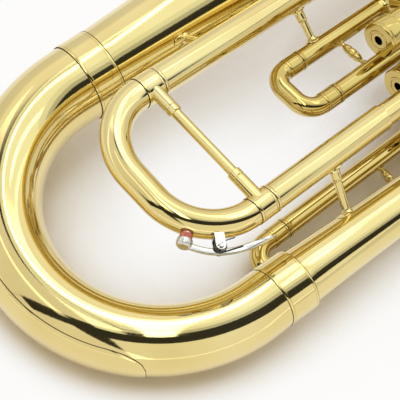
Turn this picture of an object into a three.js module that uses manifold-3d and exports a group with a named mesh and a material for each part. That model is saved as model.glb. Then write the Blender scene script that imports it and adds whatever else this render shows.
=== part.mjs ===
import * as THREE from 'three';
import * as BufferGeometryUtils from 'three/addons/utils/BufferGeometryUtils.js';
import Module from 'manifold-3d';

// A three-valve euphonium lying on its back, valves towards the sky. Lengths are millimetres.
// The instrument's own axes: X from the bell leg to the branch leg, Y along the bell leg to the bell,
// Z towards the side that faces up as it lies. The valve block leans a little against the bell leg.

const wasm = await Module();
wasm.setup();

// Angles
const degree = Math.PI / 180;
const halfTurn = Math.PI;
const fullTurn = 2 * Math.PI;

// How the instrument lies, and how the valve block leans against the bell leg
const restPitch = 9.16 * degree;
const restRoll = 5.2 * degree;
const blockLeanBack = -7.52 * degree;
const blockLeanSide = 2.72 * degree;

// Sheet brass, clearances and overruns
const brassWall = 0.9;
const fitGap = 0.4;
const seatGap = 0.3;
const jointGap = 0.6;
const cutOverrun = 4;

// Roundness of the tubes: sides of a large, a middle and a small tube, and how far a bend's line
// may cut inside the true curve
const largeSides = 16;
const middleSides = 12;
const smallSides = 8;
const bendSag = 1.2;

// Bell: a leg of the bow's radius that flares to the rim
const bellLegRadius = 32.3;
const bellRimRadius = 140;
const bellRimHeight = 490;
const bellRimBead = 2.6;
const bellWall = 1.1;
const bellRimFlat = 2.2;
const bellSides = 24;
const flareLipDropShare = 1.2;
const flareLipInsetShare = 1.6;
const rimBeadAngles = [-75, -25, 25, 65, 90].map((angle) => angle * degree);
const flareShares = { linear: 0.19, throat: 0.4, lip: 0.41, throatPower: 4, lipPower: 16 };
const flareStationShares = [0, 0.25, 0.45, 0.6, 0.72, 0.82, 0.9, 0.95, 0.98];

// Bottom bow: from the bell leg round to the branch leg
const bowSpacing = 232.9;
const bowStraight = 11.2;
const bowBranchRadius = 23.9;
const bowWall = 1.1;
const bowEndBend = 10;

// Plate that guards the outside of the bottom bow
const guardThickness = 1.1;
const guardHalfAngle = 46 * degree;
const guardEndRound = 8 * degree;
const guardEndInset = 16;
const guardSteps = 12;
const guardStart = 38 * degree;
const guardEnd = 133 * degree;

// Ferrules: sleeves over the soldered joints, with a bead at each end
const ferruleWall = 0.5;
const ferruleBead = 0.6;
const beadLength = 1.6;
const receiverBead = 0.9;
const receiverBeadLength = 2.2;
const bellFerruleLength = 23.6;
const branchFerruleLength = 24.4;
const topFerruleLength = 20;

// Outer branch, top bow and inner branch
const branchTopRadius = 17.2;
const branchTopX = 235;
const branchTopY = 366;
const branchTopZ = -28;
const branchTaperPower = 0.4;
const topBowBellGap = 24.5;
const topBowInnerRadius = 15;
const topBowFlat = 1.5;
const branchPieces = 4;
const innerBranchUpperRun = 60;
const innerBranchLowerRun = 28;
const innerBranchBend = 90;

// Main tuning slide, in the valve block's axes
const mainLeftX = 62.6;
const mainLeftZ = 50.7;
const mainSpacing = 123.8;
const mainTurn = 3 * degree;
const mainLeftRadius = 12;
const mainRightRadius = 10.6;
const mainOutletRadius = 9.4;
const mainFerruleBottom = 4;
const mainFerruleLength = 16;
const mainCrookCorner = 50;
const mainCrookOverlap = 7.4;
const mainReceiverLeftTop = 172;
const mainReceiverRightTop = 140;
const mainLegTop = 118;
const mainBraceRod = 4.2;
const mainBraceSocket = 5.6;
const mainBraceSleeve = 18;
const mainBraceForward = 5;
const outletCorner = 16;

// Water key on the outside of the main crook, angles counted down from the right-hand leg
const keyNippleAngle = 55 * degree;
const keyPivotAngle = 34 * degree;
const keyNippleRadius = 4;
const keyNippleBore = 2.4;
const keyNippleHeight = 5;
const keyNippleSink = 2.2;
const keyCorkRadius = 4.6;
const keyCorkThickness = 2.6;
const keyCupRadius = 5.8;
const keyCupThickness = 1.6;
const keyLeverThickness = 5.2;
const keyLeverWidth = 4;
const keyEarThickness = 1.6;
const keyEarWidth = 7;
const keySaddleThickness = 1.6;
const keyPivotHeight = 8;
const keyPinRadius = 1.3;
const keyPinHead = 2.4;
const keyPinHeadThickness = 1.6;
const keyTouchRadius = 6.4;
const keyTouchReach = 23;
const keyTouchDrop = 6;
const keySpringRoom = 6;
const keySaddleWidth = 10;
const pinGap = 0.35;
const keySpringWire = 1;
const keySpringRadius = 3.2;
const keySpringCurls = 2;
const keySpringPitch = 1.6;
const keySpringLeg = 12;
const keySpringLean = 21 * degree;
const curlSteps = 8;
const wireSides = 5;

// Valves: casings in a row, the first at the left and nearest the viewer
const valveX = 136.2;
const valveZ = 51.9;
const valveSpacing = 41;
const valveRowTurn = 40.4 * degree;
const casingRadius = 13.5;
const casingBottom = 193;
const casingTop = 330;
const pistonGap = 0.3;
const valveTravel = 17;
const capRadius = 15.3;
const capEdge = 0.8;
const bottomCapFace = 187;
const bottomCapLap = 11;
const capVentRadius = 3.9;
const capFaceThickness = 1.6;
const topCapLap = 8;
const topCapHeight = 11;
const topCapHole = 4;
const pistonBottom = 218;
const pistonTop = 322;
const pistonWall = 1;
const stemRadius = 2.8;
const feltThickness = 2.4;
const feltRadius = 7.5;
const buttonRadius = 9.5;
const buttonThickness = 5;
const buttonDishRadius = 7.6;
const buttonDishDepth = 1.4;
const buttonPearlRise = 0.6;
const valveSpringRadius = 8.4;
const valveSpringWire = 1.3;
const valveSpringCurls = 4;
const portUpper = 292;
const portOutlet = 266;
const portLeftLower = 246;
const portRightLower = 266;
const secondPortUpper = 272;
const secondPortLower = 246;
const portBoreRadius = 6.8;
const portSides = 8;

// Small tubes of the three valve slides
const slideRadius = 8;
const slideFerruleLength = 14;
const slideCornerRadius = 14;
const slidePortCorner = 13;
const firstLeftX = 100.2;
const firstRightX = 141.5;
const firstLeftZ = 23.2;
const firstRightZ = 24.2;
const firstFerruleBottom = 126.5;
const firstCrookDrop = 0.6;
const firstLegLength = 64;
const firstBraceHeight = 178;
const firstBraceRadius = 3.4;
const firstBraceTip = 1.4;
const spindleNeckShare = 0.3;
const thirdLeftX = 189;
const thirdRightX = 224;
const thirdLeftZ = -25;
const thirdRightZ = -33;
const thirdFerruleBottom = 36;
const thirdCrookDrop = 5;
const thirdLegLength = 120;
const secondReceiverEnd = 40;
const secondLegLength = 17;
const secondFerruleLength = 8;
const secondCrookDrop = 0.6;
const secondCornerRadius = 12;

// Struts between the tubes
const strutSocket = 4.4;
const slideStrutBelowTop = 12;
const branchStrutHeight = 83;
const bellStrutHeight = 80;

// Leadpipe and mouthpiece: corner points in the instrument's axes
const leadRadius = 7.4;
const leadEndRadius = 6.6;
const leadFirstReach = 38;
const leadCrossX = 28;
const leadCrossY = 326;
const leadCrossZ = 92;
const leadEndTurn = -6.44 * degree;
const leadEndHeight = 398;
const leadBellGap = 57.5;
const leadBend = 26;
const receiverLength = 34;
const receiverRadius = 9;
const mouthpieceShank = 5.6;
const mouthpieceTip = 4.9;
const mouthpieceLength = 86;
const mouthpieceInsert = 26;
const mouthpieceThroat = 3.3;
const mouthpieceCupRadius = 19.4;
const mouthpieceCupBore = 12.8;
const mouthpieceCupDepth = 30;

// Finish of each kind of piece
const lacqueredBrass = new THREE.MeshStandardMaterial({ color: '#d2b25c', roughness: 0.22, metalness: 1 });
const nickelSilver = new THREE.MeshStandardMaterial({ color: '#cfccc2', roughness: 0.25, metalness: 1 });
const silverPlate = new THREE.MeshStandardMaterial({ color: '#dedcd6', roughness: 0.15, metalness: 1 });
const monel = new THREE.MeshStandardMaterial({ color: '#a9a69d', roughness: 0.35, metalness: 1 });
const springSteel = new THREE.MeshStandardMaterial({ color: '#55524c', roughness: 0.4, metalness: 1 });
const cork = new THREE.MeshStandardMaterial({ color: '#b86a58', roughness: 0.9, metalness: 0 });
const felt = new THREE.MeshStandardMaterial({ color: '#5e1f22', roughness: 1, metalness: 0 });
const pearl = new THREE.MeshStandardMaterial({ color: '#ece7dc', roughness: 0.2, metalness: 0 });

// A closed mesh as a solid for joining and cutting, and back again
function solid(geometry) {
  const bare = geometry.clone();
  bare.deleteAttribute('normal');
  bare.deleteAttribute('uv');
  const merged = BufferGeometryUtils.mergeVertices(bare);
  return new wasm.Manifold(new wasm.Mesh({
    numProp: 3,
    vertProperties: new Float32Array(merged.attributes.position.array),
    triVerts: new Uint32Array(merged.index.array),
  }));
}

function fromSolid(body) {
  const mesh = body.getMesh();
  const geometry = new THREE.BufferGeometry();
  geometry.setAttribute('position', new THREE.Float32BufferAttribute(mesh.vertProperties, 3));
  geometry.setIndex(new THREE.Uint32BufferAttribute(mesh.triVerts, 1));
  return geometry;
}

function cut(geometry, ...cutters) {
  return fromSolid(cutters.reduce((body, cutter) => body.subtract(solid(cutter)), solid(geometry)));
}

function join(...geometries) {
  return fromSolid(geometries.map(solid).reduce((body, next) => body.add(next)));
}

// Straight runs joined by round bends, read as a tube bender reads them.
// Each station holds a point, the direction of the tube and the distance from the start.
function bentPath(corners, bend, runPieces = 1) {
  const stations = [];
  const add = (point, tangent) => {
    const last = stations[stations.length - 1];
    const step = last ? last.point.distanceTo(point) : 0;
    if (!last || step > seatGap) {
      stations.push({ point, tangent, along: last ? last.along + step : 0 });
    }
  };
  let from = corners[0].clone();
  for (let index = 1; index < corners.length; index += 1) {
    const corner = corners[index];
    const inward = corner.clone().sub(corners[index - 1]).normalize();
    const next = corners[index + 1];
    const outward = next ? next.clone().sub(corner).normalize() : inward;
    const turn = inward.angleTo(outward);
    const radius = Array.isArray(bend) ? bend[index - 1] : bend;
    const lead = turn > 0 && next ? radius * Math.tan(turn / 2) : 0;
    const arcStart = corner.clone().addScaledVector(inward, -lead);
    for (let piece = 0; piece < runPieces; piece += 1) {
      add(from.clone().lerp(arcStart, piece / runPieces), inward);
    }
    if (lead > 0) {
      const axis = inward.clone().cross(outward).normalize();
      const toCentre = axis.clone().cross(inward);
      const centre = arcStart.clone().addScaledVector(toCentre, radius);
      const steps = Math.ceil(turn / (2 * Math.acos(1 - bendSag / radius)));
      for (let step = 0; step <= steps; step += 1) {
        const angle = turn * step / steps;
        const arm = toCentre.clone().multiplyScalar(-radius).applyAxisAngle(axis, angle);
        add(centre.clone().add(arm), inward.clone().applyAxisAngle(axis, angle));
      }
    }
    from = corner.clone().addScaledVector(outward, lead);
    if (!next) {
      add(corner.clone(), inward);
    }
  }
  return stations;
}

// A turned piece about Y: the outline is pairs of radius and height, anticlockwise, closed on itself
// or with both ends on the axis
function turned(outline, sides) {
  return new THREE.LatheGeometry(outline.map(([radius, height]) => new THREE.Vector2(radius, height)),
    sides);
}

// A tube of changing radius along a bent path: a turned tube whose rings ride on the stations.
// Without a wall it is solid.
function bentTube({ stations, outer, wall, sides, side = new THREE.Vector3(0, 0, 1) }) {
  const total = stations[stations.length - 1].along;
  const radii = stations.map((station) => outer(station.along / total));
  const outside = radii.map((radius, index) => [radius, index]);
  const inside = wall ? radii.map((radius, index) => [radius - wall, index]).reverse()
    : [[0, radii.length - 1]];
  const outline = wall ? [...outside, ...inside, outside[0]] : [[0, 0], ...outside, ...inside];
  const geometry = turned(outline, sides);
  const frames = [];
  let across = side.clone();
  stations.forEach((station, index) => {
    if (index > 0) {
      const swing = new THREE.Quaternion().setFromUnitVectors(stations[index - 1].tangent,
        station.tangent);
      across = across.clone().applyQuaternion(swing);
    }
    across.addScaledVector(station.tangent, -across.dot(station.tangent)).normalize();
    frames.push({ across: across.clone(), over: across.clone().cross(station.tangent) });
  });
  const positions = geometry.attributes.position;
  for (let index = 0; index < positions.count; index += 1) {
    const ring = Math.round(positions.getY(index));
    const point = stations[ring].point.clone();
    point.addScaledVector(frames[ring].across, positions.getX(index));
    point.addScaledVector(frames[ring].over, positions.getZ(index));
    positions.setXYZ(index, point.x, point.y, point.z);
  }
  return geometry;
}

const even = (radius) => () => radius;
const between = (start, end) => (share) => start + (end - start) * share;

// A hollow straight tube about Y
function pipe(radius, wall, bottom, top, sides) {
  return turned([[radius, bottom], [radius, top], [radius - wall, top], [radius - wall, bottom],
    [radius, bottom]], sides);
}

// A plain round bar about Y
function bar(radius, bottom, top, sides) {
  return turned([[0, bottom], [radius, bottom], [radius, top], [0, top]], sides);
}

// Turns a piece made about Y so that it runs from a point along a direction, its X axis to one side
function aimed(geometry, start, direction, side) {
  const line = direction.clone().normalize();
  const turn = new THREE.Quaternion().setFromUnitVectors(new THREE.Vector3(0, 1, 0), line);
  if (side) {
    turn.setFromRotationMatrix(new THREE.Matrix4().makeBasis(side, line, side.clone().cross(line)));
  }
  return geometry.applyQuaternion(turn).translate(start.x, start.y, start.z);
}

// A sleeve over a joint, with a bead at each end; the tubes inside reach innerRadius
function ferrule(innerRadius, length, sides) {
  const inside = innerRadius + fitGap;
  const outside = inside + ferruleWall;
  const crest = outside + ferruleBead;
  return turned([
    [inside, 0], [crest, 0], [crest, beadLength], [outside, beadLength],
    [outside, length - beadLength], [crest, length - beadLength], [crest, length],
    [inside, length], [inside, 0],
  ], sides);
}

// A round strut between two tubes, trimmed to what it stands on
function strut(start, end, cutters) {
  const line = end.clone().sub(start);
  const length = line.length();
  const waist = turned([[0, 0], [strutSocket, 0], [strutSocket, length], [0, length]], smallSides);
  return cut(aimed(waist, start, line), ...cutters);
}

function barAlong(start, end, radius, sides = smallSides) {
  const line = end.clone().sub(start);
  return aimed(bar(radius, 0, line.length(), sides), start, line);
}

const euphonium = new THREE.Group();
const instrument = new THREE.Group();
const block = new THREE.Group();
block.rotation.set(blockLeanBack, 0, blockLeanSide);
block.updateMatrix();
instrument.add(block);
euphonium.add(instrument);

function place(group, name, geometry, material) {
  const mesh = new THREE.Mesh(geometry, material);
  mesh.name = name;
  group.add(mesh);
  return mesh;
}

const vector = (x, y, z) => new THREE.Vector3(x, y, z);
const up = vector(0, 1, 0);
const down = vector(0, -1, 0);
const fromBlock = (point) => point.clone().applyMatrix4(block.matrix);

// Bell, turned about its own leg: straight under its ferrule, then the flare
const bellStart = (bellFerruleLength + jointGap) / 2;
const bellLipHeight = bellRimHeight - bellRimBead * flareLipDropShare;
const bellLipRadius = bellRimRadius - bellRimBead * flareLipInsetShare;
const flareHeight = bellLipHeight - bellFerruleLength;
const flareRadius = (share) => bellLegRadius + (bellLipRadius - bellLegRadius)
  * (flareShares.linear * share + flareShares.throat * share ** flareShares.throatPower
    + flareShares.lip * share ** flareShares.lipPower);
const flareRadiusAt = (height) => flareRadius((height - bellFerruleLength) / flareHeight);
const bellOutside = [[bellLegRadius, bellStart]];
for (const share of [...flareStationShares, 1]) {
  bellOutside.push([flareRadius(share), bellFerruleLength + flareHeight * share]);
}

function buildBell() {
  const outside = bellOutside;
  const inside = outside.map(([radius, height], index) => {
    const before = outside[Math.max(index - 1, 0)];
    const after = outside[Math.min(index + 1, outside.length - 1)];
    const run = Math.hypot(after[0] - before[0], after[1] - before[1]);
    const squareEnd = index === 0 ? 0 : 1;
    return [
      radius - bellWall * (squareEnd ? (after[1] - before[1]) / run : 1),
      height + squareEnd * bellWall * (after[0] - before[0]) / run,
    ];
  });
  const beadRadius = bellRimRadius - bellRimBead;
  const beadHeight = bellRimHeight - bellRimBead;
  const bead = rimBeadAngles.map((angle) => [
    beadRadius + bellRimBead * Math.cos(angle), beadHeight + bellRimBead * Math.sin(angle)]);
  bead.push([beadRadius, bellRimHeight], [beadRadius - bellRimFlat, bellRimHeight]);
  place(instrument, 'bell', turned([...outside, ...bead, ...inside.reverse(), outside[0]], bellSides),
    lacqueredBrass);
  place(instrument, 'bell_ferrule', ferrule(bellLegRadius + seatGap, bellFerruleLength, bellSides),
    lacqueredBrass);
}

// Where the branch leaves the bow, and the line that it follows up to the top bow
const branchFoot = vector(bowSpacing, 0, 0);
const branchTop = vector(branchTopX, branchTopY, branchTopZ);
const branchLine = branchTop.clone().sub(branchFoot).normalize();
const branchStations = bentPath([
  branchFoot.clone().addScaledVector(branchLine, (branchFerruleLength + jointGap) / 2),
  branchTop.clone().addScaledVector(branchLine, -jointGap / 2),
], 0, branchPieces);
const branchRadiusAt = (share) => bowBranchRadius
  - (bowBranchRadius - branchTopRadius) * share ** branchTaperPower;
const bowRadius = bowSpacing / 2;
const bowOutside = between(bellLegRadius, bowBranchRadius);

function buildBottomBow() {
  const stations = bentPath([
    vector(0, (bellFerruleLength - jointGap) / 2, 0),
    vector(0, -bowStraight - bowRadius, 0),
    vector(bowSpacing, -bowStraight - bowRadius, 0),
    branchFoot,
    branchFoot.clone().addScaledVector(branchLine, (branchFerruleLength - jointGap) / 2),
  ], [bowRadius, bowRadius, bowEndBend]);
  place(instrument, 'bottom_bow', bentTube({
    stations, outer: bowOutside, wall: bowWall, sides: largeSides,
  }), lacqueredBrass);

  // The guard is a second skin over the outside of the bend, kept where its plan outline reaches
  const skin = bentTube({
    stations,
    outer: (share) => bowOutside(share) + seatGap + guardThickness,
    wall: guardThickness,
    sides: largeSides,
  });
  const plan = new THREE.Shape();
  const innerEdge = (share) => bowRadius + bowOutside(share) * Math.cos(guardHalfAngle);
  const at = (angle, radius) =>
    [bowRadius - Math.cos(angle) * radius, -bowStraight - Math.sin(angle) * radius];
  for (let step = 0; step <= guardSteps; step += 1) {
    const share = step / guardSteps;
    const angle = guardStart + guardEndRound + (guardEnd - guardStart - 2 * guardEndRound) * share;
    const corner = at(angle, innerEdge(angle / halfTurn));
    if (step === 0) {
      plan.moveTo(...corner);
    } else {
      plan.lineTo(...corner);
    }
  }
  plan.lineTo(...at(guardEnd, innerEdge(guardEnd / halfTurn) + guardEndInset));
  plan.lineTo(...at(guardEnd, bowRadius + 2 * bellLegRadius));
  plan.lineTo(...at(halfTurn / 2, 2 * bowRadius + bellLegRadius));
  plan.lineTo(...at(guardStart, bowRadius + 2 * bellLegRadius));
  plan.lineTo(...at(guardStart, innerEdge(guardStart / halfTurn) + guardEndInset));
  plan.closePath();
  const keep = new THREE.ExtrudeGeometry(plan, { depth: 3 * bellLegRadius, bevelEnabled: false });
  keep.translate(0, 0, -1.5 * bellLegRadius);
  place(instrument, 'bow_guard', fromSolid(solid(skin).intersect(solid(keep))), lacqueredBrass);
}

// Outer branch, top bow and inner branch, with their ferrules
const topBowInnerX = flareRadiusAt(branchTopY) + topBowBellGap;
const topBowRadius = (branchTopX - topBowInnerX) / 2 - topBowFlat;

function buildBranches() {
  place(instrument, 'branch_ferrule',
    aimed(ferrule(bowBranchRadius + seatGap, branchFerruleLength, largeSides),
    branchFoot, branchLine), lacqueredBrass);
  place(instrument, 'outer_branch', bentTube({
    stations: branchStations, outer: branchRadiusAt, wall: brassWall, sides: largeSides,
  }), lacqueredBrass);

  const bowStart = branchTop.clone().addScaledVector(branchLine, jointGap / 2);
  const rise = topBowRadius + topBowFlat + topFerruleLength / 2;
  const outerCorner = bowStart.clone().addScaledVector(branchLine, rise);
  const innerCorner = outerCorner.clone().setX(outerCorner.x - branchTopX + topBowInnerX);
  const bowEnd = innerCorner.clone().addScaledVector(branchLine, -rise);
  place(instrument, 'top_bow', bentTube({
    stations: bentPath([bowStart, outerCorner, innerCorner, bowEnd], topBowRadius),
    outer: between(branchTopRadius, topBowInnerRadius),
    wall: brassWall,
    sides: largeSides,
  }), lacqueredBrass);
  const innerJoint = bowEnd.clone().addScaledVector(branchLine, -jointGap / 2);
  const joints = [['outer', branchTopRadius, branchTop], ['inner', topBowInnerRadius, innerJoint]];
  for (const [side, radius, joint] of joints) {
    place(instrument, `top_bow_${side}_ferrule`, aimed(ferrule(radius, topFerruleLength, largeSides),
      joint.clone().addScaledVector(branchLine, -topFerruleLength / 2), branchLine), lacqueredBrass);
  }

  const branchStart = innerJoint.clone().addScaledVector(branchLine, -jointGap / 2);
  const foot = vector(mainLeftX, mainReceiverLeftTop + jointGap, mainLeftZ);
  place(instrument, 'inner_branch', bentTube({
    stations: bentPath([
      branchStart,
      branchStart.clone().addScaledVector(branchLine, -innerBranchUpperRun),
      fromBlock(foot.clone().addScaledVector(up, innerBranchLowerRun)),
      fromBlock(foot),
    ], innerBranchBend, 2),
    outer: between(topBowInnerRadius, mainLeftRadius),
    wall: brassWall,
    sides: largeSides,
  }), lacqueredBrass);
}

// A receiver: the fixed outer tube of a slide, with a bead round its open end
function receiver(radius, bottom, top, sides, bore = radius - brassWall) {
  return turned([
    [bore, bottom], [radius + receiverBead, bottom], [radius + receiverBead, bottom + receiverBeadLength],
    [radius, bottom + receiverBeadLength + receiverBead], [radius, top], [bore, top], [bore, bottom],
  ], sides);
}

// The sleeve at a slide's bend, from the leg that it grips to the end of the bend
function sleeve(bendGrip, legGrip, radius, length, sides) {
  const outside = radius + ferruleWall;
  const crest = outside + ferruleBead;
  const step = length / 2;
  return turned([
    [legGrip, 0], [crest, 0], [crest, beadLength], [outside, beadLength],
    [outside, length - beadLength], [crest, length - beadLength], [crest, length],
    [bendGrip, length], [bendGrip, step], [legGrip, step], [legGrip, 0],
  ], sides);
}

// A bead round a tube's open end, and a hollow straight tube between two points
function openBead(end, out, side) {
  return aimed(pipe(slideRadius + receiverBead, receiverBead + brassWall / 2, 0, receiverBeadLength,
    smallSides),
    end.clone().addScaledVector(out, -receiverBeadLength), out, side);
}

function tubeBetween(start, end, side) {
  const line = end.clone().sub(start);
  return aimed(pipe(slideRadius, brassWall, 0, line.length(), smallSides), start, line, side);
}

// Main tuning slide: its own axes have the left leg at the origin and the right leg along X
const mainSlide = new THREE.Group();
mainSlide.position.set(mainLeftX, 0, mainLeftZ);
mainSlide.rotation.y = mainTurn;
mainSlide.updateMatrix();
block.add(mainSlide);
const crookCentreX = mainSpacing - mainCrookCorner;
const crookTop = mainFerruleBottom + mainCrookOverlap;
const crookStations = bentPath([
  vector(0, crookTop, 0),
  vector(0, mainFerruleBottom - mainCrookCorner, 0),
  vector(mainSpacing, mainFerruleBottom - mainCrookCorner, 0),
  vector(mainSpacing, crookTop, 0),
], mainCrookCorner);
const crookOutside = between(mainLeftRadius, mainRightRadius);
const crookLength = crookStations[crookStations.length - 1].along;
const crookRadiusAt = (angle) =>
  crookOutside(1 - (mainCrookOverlap + mainCrookCorner * angle) / crookLength);
const crookPoint = (angle, height) => {
  const reach = mainCrookCorner + crookRadiusAt(angle) + height;
  return vector(crookCentreX + reach * Math.cos(angle), mainFerruleBottom - reach * Math.sin(angle), 0);
};
const crookOutward = (angle) => vector(Math.cos(angle), -Math.sin(angle), 0);

function buildMainSlide() {
  const seats = [
    ['left', 0, mainLeftRadius, mainReceiverLeftTop],
    ['right', mainSpacing, mainRightRadius, mainReceiverRightTop],
  ];
  const ferruleTop = mainFerruleBottom + mainFerruleLength;
  const sleeves = [];
  for (const [side, x, radius, top] of seats) {
    const legRadius = radius - brassWall - fitGap;
    place(mainSlide, `main_slide_receiver_${side}`,
      receiver(radius, ferruleTop + jointGap, top, middleSides).translate(x, 0, 0), lacqueredBrass);
    place(mainSlide, `main_slide_leg_${side}`,
      pipe(legRadius, brassWall, crookTop + jointGap, mainLegTop, middleSides)
        .translate(x, 0, 0), nickelSilver);
    sleeves.push(aimed(sleeve(radius - brassWall / 2, legRadius + seatGap, radius, mainFerruleLength,
      middleSides),
      vector(x, ferruleTop, 0), down));
  }
  const crook = bentTube({ stations: crookStations, outer: crookOutside, wall: brassWall,
    sides: middleSides });
  const drill = barAlong(crookPoint(keyNippleAngle, -crookRadiusAt(keyNippleAngle)),
    crookPoint(keyNippleAngle, cutOverrun), keyNippleBore);
  place(mainSlide, 'main_crook', cut(join(crook, ...sleeves), drill), lacqueredBrass);

  const middle = mainFerruleBottom + mainFerruleLength / 2;
  const reach = mainBraceSleeve;
  const taper = mainBraceSocket - mainBraceRod;
  const brace = turned([
    [0, 0], [mainBraceSocket, 0], [mainBraceSocket, mainLeftRadius + reach],
    [mainBraceRod, mainLeftRadius + reach + taper],
    [mainBraceRod, mainSpacing - mainRightRadius - reach - taper],
    [mainBraceSocket, mainSpacing - mainRightRadius - reach], [mainBraceSocket, mainSpacing],
    [0, mainSpacing],
  ], smallSides);
  const clearOf = (x, radius) => bar(radius + fitGap + ferruleWall + seatGap,
    middle - 2 * mainBraceSocket, middle + 2 * mainBraceSocket, middleSides).translate(x, 0, 0);
  place(mainSlide, 'main_slide_brace', cut(
    aimed(brace, vector(0, middle, mainBraceForward), vector(1, 0, 0)),
    clearOf(0, mainLeftRadius), clearOf(mainSpacing, mainRightRadius),
  ), lacqueredBrass);
}

// Water key on the outside of the crook
function buildWaterKey() {
  const clear = bentTube({
    stations: crookStations,
    outer: (share) => crookOutside(share) + seatGap,
    wall: mainRightRadius / 2,
    sides: middleSides,
  });
  const outward = crookOutward(keyNippleAngle);
  const nipple = turned([
    [keyNippleBore, -keyNippleSink], [keyNippleRadius, -keyNippleSink], [keyNippleRadius, keyNippleHeight],
    [keyNippleBore, keyNippleHeight], [keyNippleBore, -keyNippleSink],
  ], smallSides);
  place(mainSlide, 'water_key_nipple', cut(
    aimed(nipple, crookPoint(keyNippleAngle, 0), outward), clear), nickelSilver);
  place(mainSlide, 'water_key_cork', aimed(bar(keyCorkRadius, 0, keyCorkThickness, smallSides),
    crookPoint(keyNippleAngle, keyNippleHeight + seatGap), outward), cork);

  // Saddle: a foot on the crook and two ears that hold the pivot pin
  const pivot = crookPoint(keyPivotAngle, keyPivotHeight);
  const earInside = keyLeverThickness / 2 + keySpringRoom;
  const tilt = -keyPivotAngle;
  const pivotBlock = (length, width, depth, height, offsetZ) => new THREE.BoxGeometry(length, width, depth)
    .translate(height, 0, offsetZ).rotateZ(tilt)
    .translate(crookPoint(keyPivotAngle, 0).x, crookPoint(keyPivotAngle, 0).y, 0);
  const earHeight = keyPivotHeight + keyEarWidth / 2 + keyNippleSink;
  const earMiddle = (keyPivotHeight + keyEarWidth / 2 - keyNippleSink) / 2;
  const footDepth = 2 * (earInside + keyEarThickness);
  const ears = [1, -1].map((face) => pivotBlock(earHeight, keyEarWidth, keyEarThickness, earMiddle,
    face * (earInside + keyEarThickness / 2)));
  const foot = pivotBlock(keySaddleThickness + keyNippleSink, keySaddleWidth, footDepth,
    (keySaddleThickness - keyNippleSink) / 2, 0);
  const pinHole = bar(keyPinRadius + pinGap, -footDepth, footDepth, smallSides).rotateX(halfTurn / 2)
    .translate(pivot.x, pivot.y, 0);
  place(mainSlide, 'water_key_saddle', cut(join(foot, ...ears), clear, pinHole), nickelSilver);
  const pinEnd = earInside + keyEarThickness + seatGap;
  place(mainSlide, 'water_key_pin', turned([
    [0, -pinEnd], [keyPinRadius, -pinEnd], [keyPinRadius, pinEnd], [keyPinHead, pinEnd],
    [keyPinHead, pinEnd + keyPinHeadThickness], [0, pinEnd + keyPinHeadThickness],
  ], smallSides).rotateX(halfTurn / 2).translate(pivot.x, pivot.y, 0), nickelSilver);

  // Lever: cup, curved arm, hub and finger touch
  const cupHeight = keyNippleHeight + keyCorkThickness + 2 * seatGap;
  const cup = crookPoint(keyNippleAngle, cupHeight + keyLeverWidth / 2 + 2 * seatGap);
  const knee = crookPoint((keyNippleAngle + keyPivotAngle) / 2, keyPivotHeight + keyLeverWidth / 2);
  const touch = vector(mainSpacing + keyTouchReach, mainFerruleBottom - keyTouchDrop, 0);
  const rise = touch.clone().sub(vector(0, keyTouchRadius, 0));
  const hub = bar(keyEarWidth / 2, -keyLeverThickness / 2, keyLeverThickness / 2, smallSides)
    .rotateX(halfTurn / 2).translate(pivot.x, pivot.y, 0);
  const lever = join(
    aimed(bar(keyCupRadius, 0, keyCupThickness, smallSides), crookPoint(keyNippleAngle, cupHeight),
      outward),
    barAlong(cup, knee, keyLeverWidth / 2),
    barAlong(knee, pivot, keyLeverWidth / 2),
    hub,
    barAlong(pivot, rise, keyLeverWidth / 2),
    aimed(bar(keyTouchRadius, 0, keyCupThickness, smallSides), touch, vector(1, 0, 0)),
    barAlong(rise, touch.clone().add(vector(keyCupThickness / 2, -keyTouchRadius / 2, 0)),
      keyLeverWidth / 2),
  );
  place(mainSlide, 'water_key_lever', cut(lever, pinHole), nickelSilver);
  buildWaterKeySpring(pivot, rise);
}

// Torsion spring round the pivot pin: one unbroken wire. One leg bears on the crook, the other follows
// the lever's arm out to the finger touch.
function buildWaterKeySpring(pivot, touchEnd) {
  const coilStart = keyLeverThickness / 2 + seatGap + keySpringWire / 2;
  const alongCrook = halfTurn / 2 - keyPivotAngle + keySpringLean;
  const alongLever = Math.atan2(touchEnd.y - pivot.y, touchEnd.x - pivot.x);
  const first = alongCrook + halfTurn / 2;
  const wound = fullTurn * (keySpringCurls + 1) + alongLever - halfTurn / 2 - first;
  const steps = Math.round(wound / fullTurn * curlSteps);
  const points = [];
  for (let step = 0; step <= steps; step += 1) {
    const angle = first + wound * step / steps;
    points.push(vector(
      pivot.x + keySpringRadius * Math.cos(angle), pivot.y + keySpringRadius * Math.sin(angle),
      coilStart + keySpringPitch * (angle - first) / fullTurn,
    ));
  }
  const leg = (from, angle) => from.clone().add(
    vector(Math.cos(angle), Math.sin(angle), 0).multiplyScalar(keySpringLeg));
  points.unshift(leg(points[0], alongCrook));
  points.push(leg(points[points.length - 1], alongLever));
  console.log('least gap of the water key spring to itself, mm', leastGap(points, keySpringWire / 2));
  place(mainSlide, 'water_key_spring', wire(points, keySpringWire / 2), springSteel);
}

// The least gap between two stretches of one wire that lie more than half a curl apart
function leastGap(points, radius) {
  const dense = [];
  for (let index = 1; index < points.length; index += 1) {
    for (let step = 0; step < curlSteps; step += 1) {
      dense.push(points[index - 1].clone().lerp(points[index], step / curlSteps));
    }
  }
  const reach = curlSteps * curlSteps / 2;
  let least = Infinity;
  for (let index = 0; index < dense.length; index += 1) {
    for (let other = index + reach; other < dense.length; other += 1) {
      least = Math.min(least, dense[index].distanceTo(dense[other]) - 2 * radius);
    }
  }
  return least;
}

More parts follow.
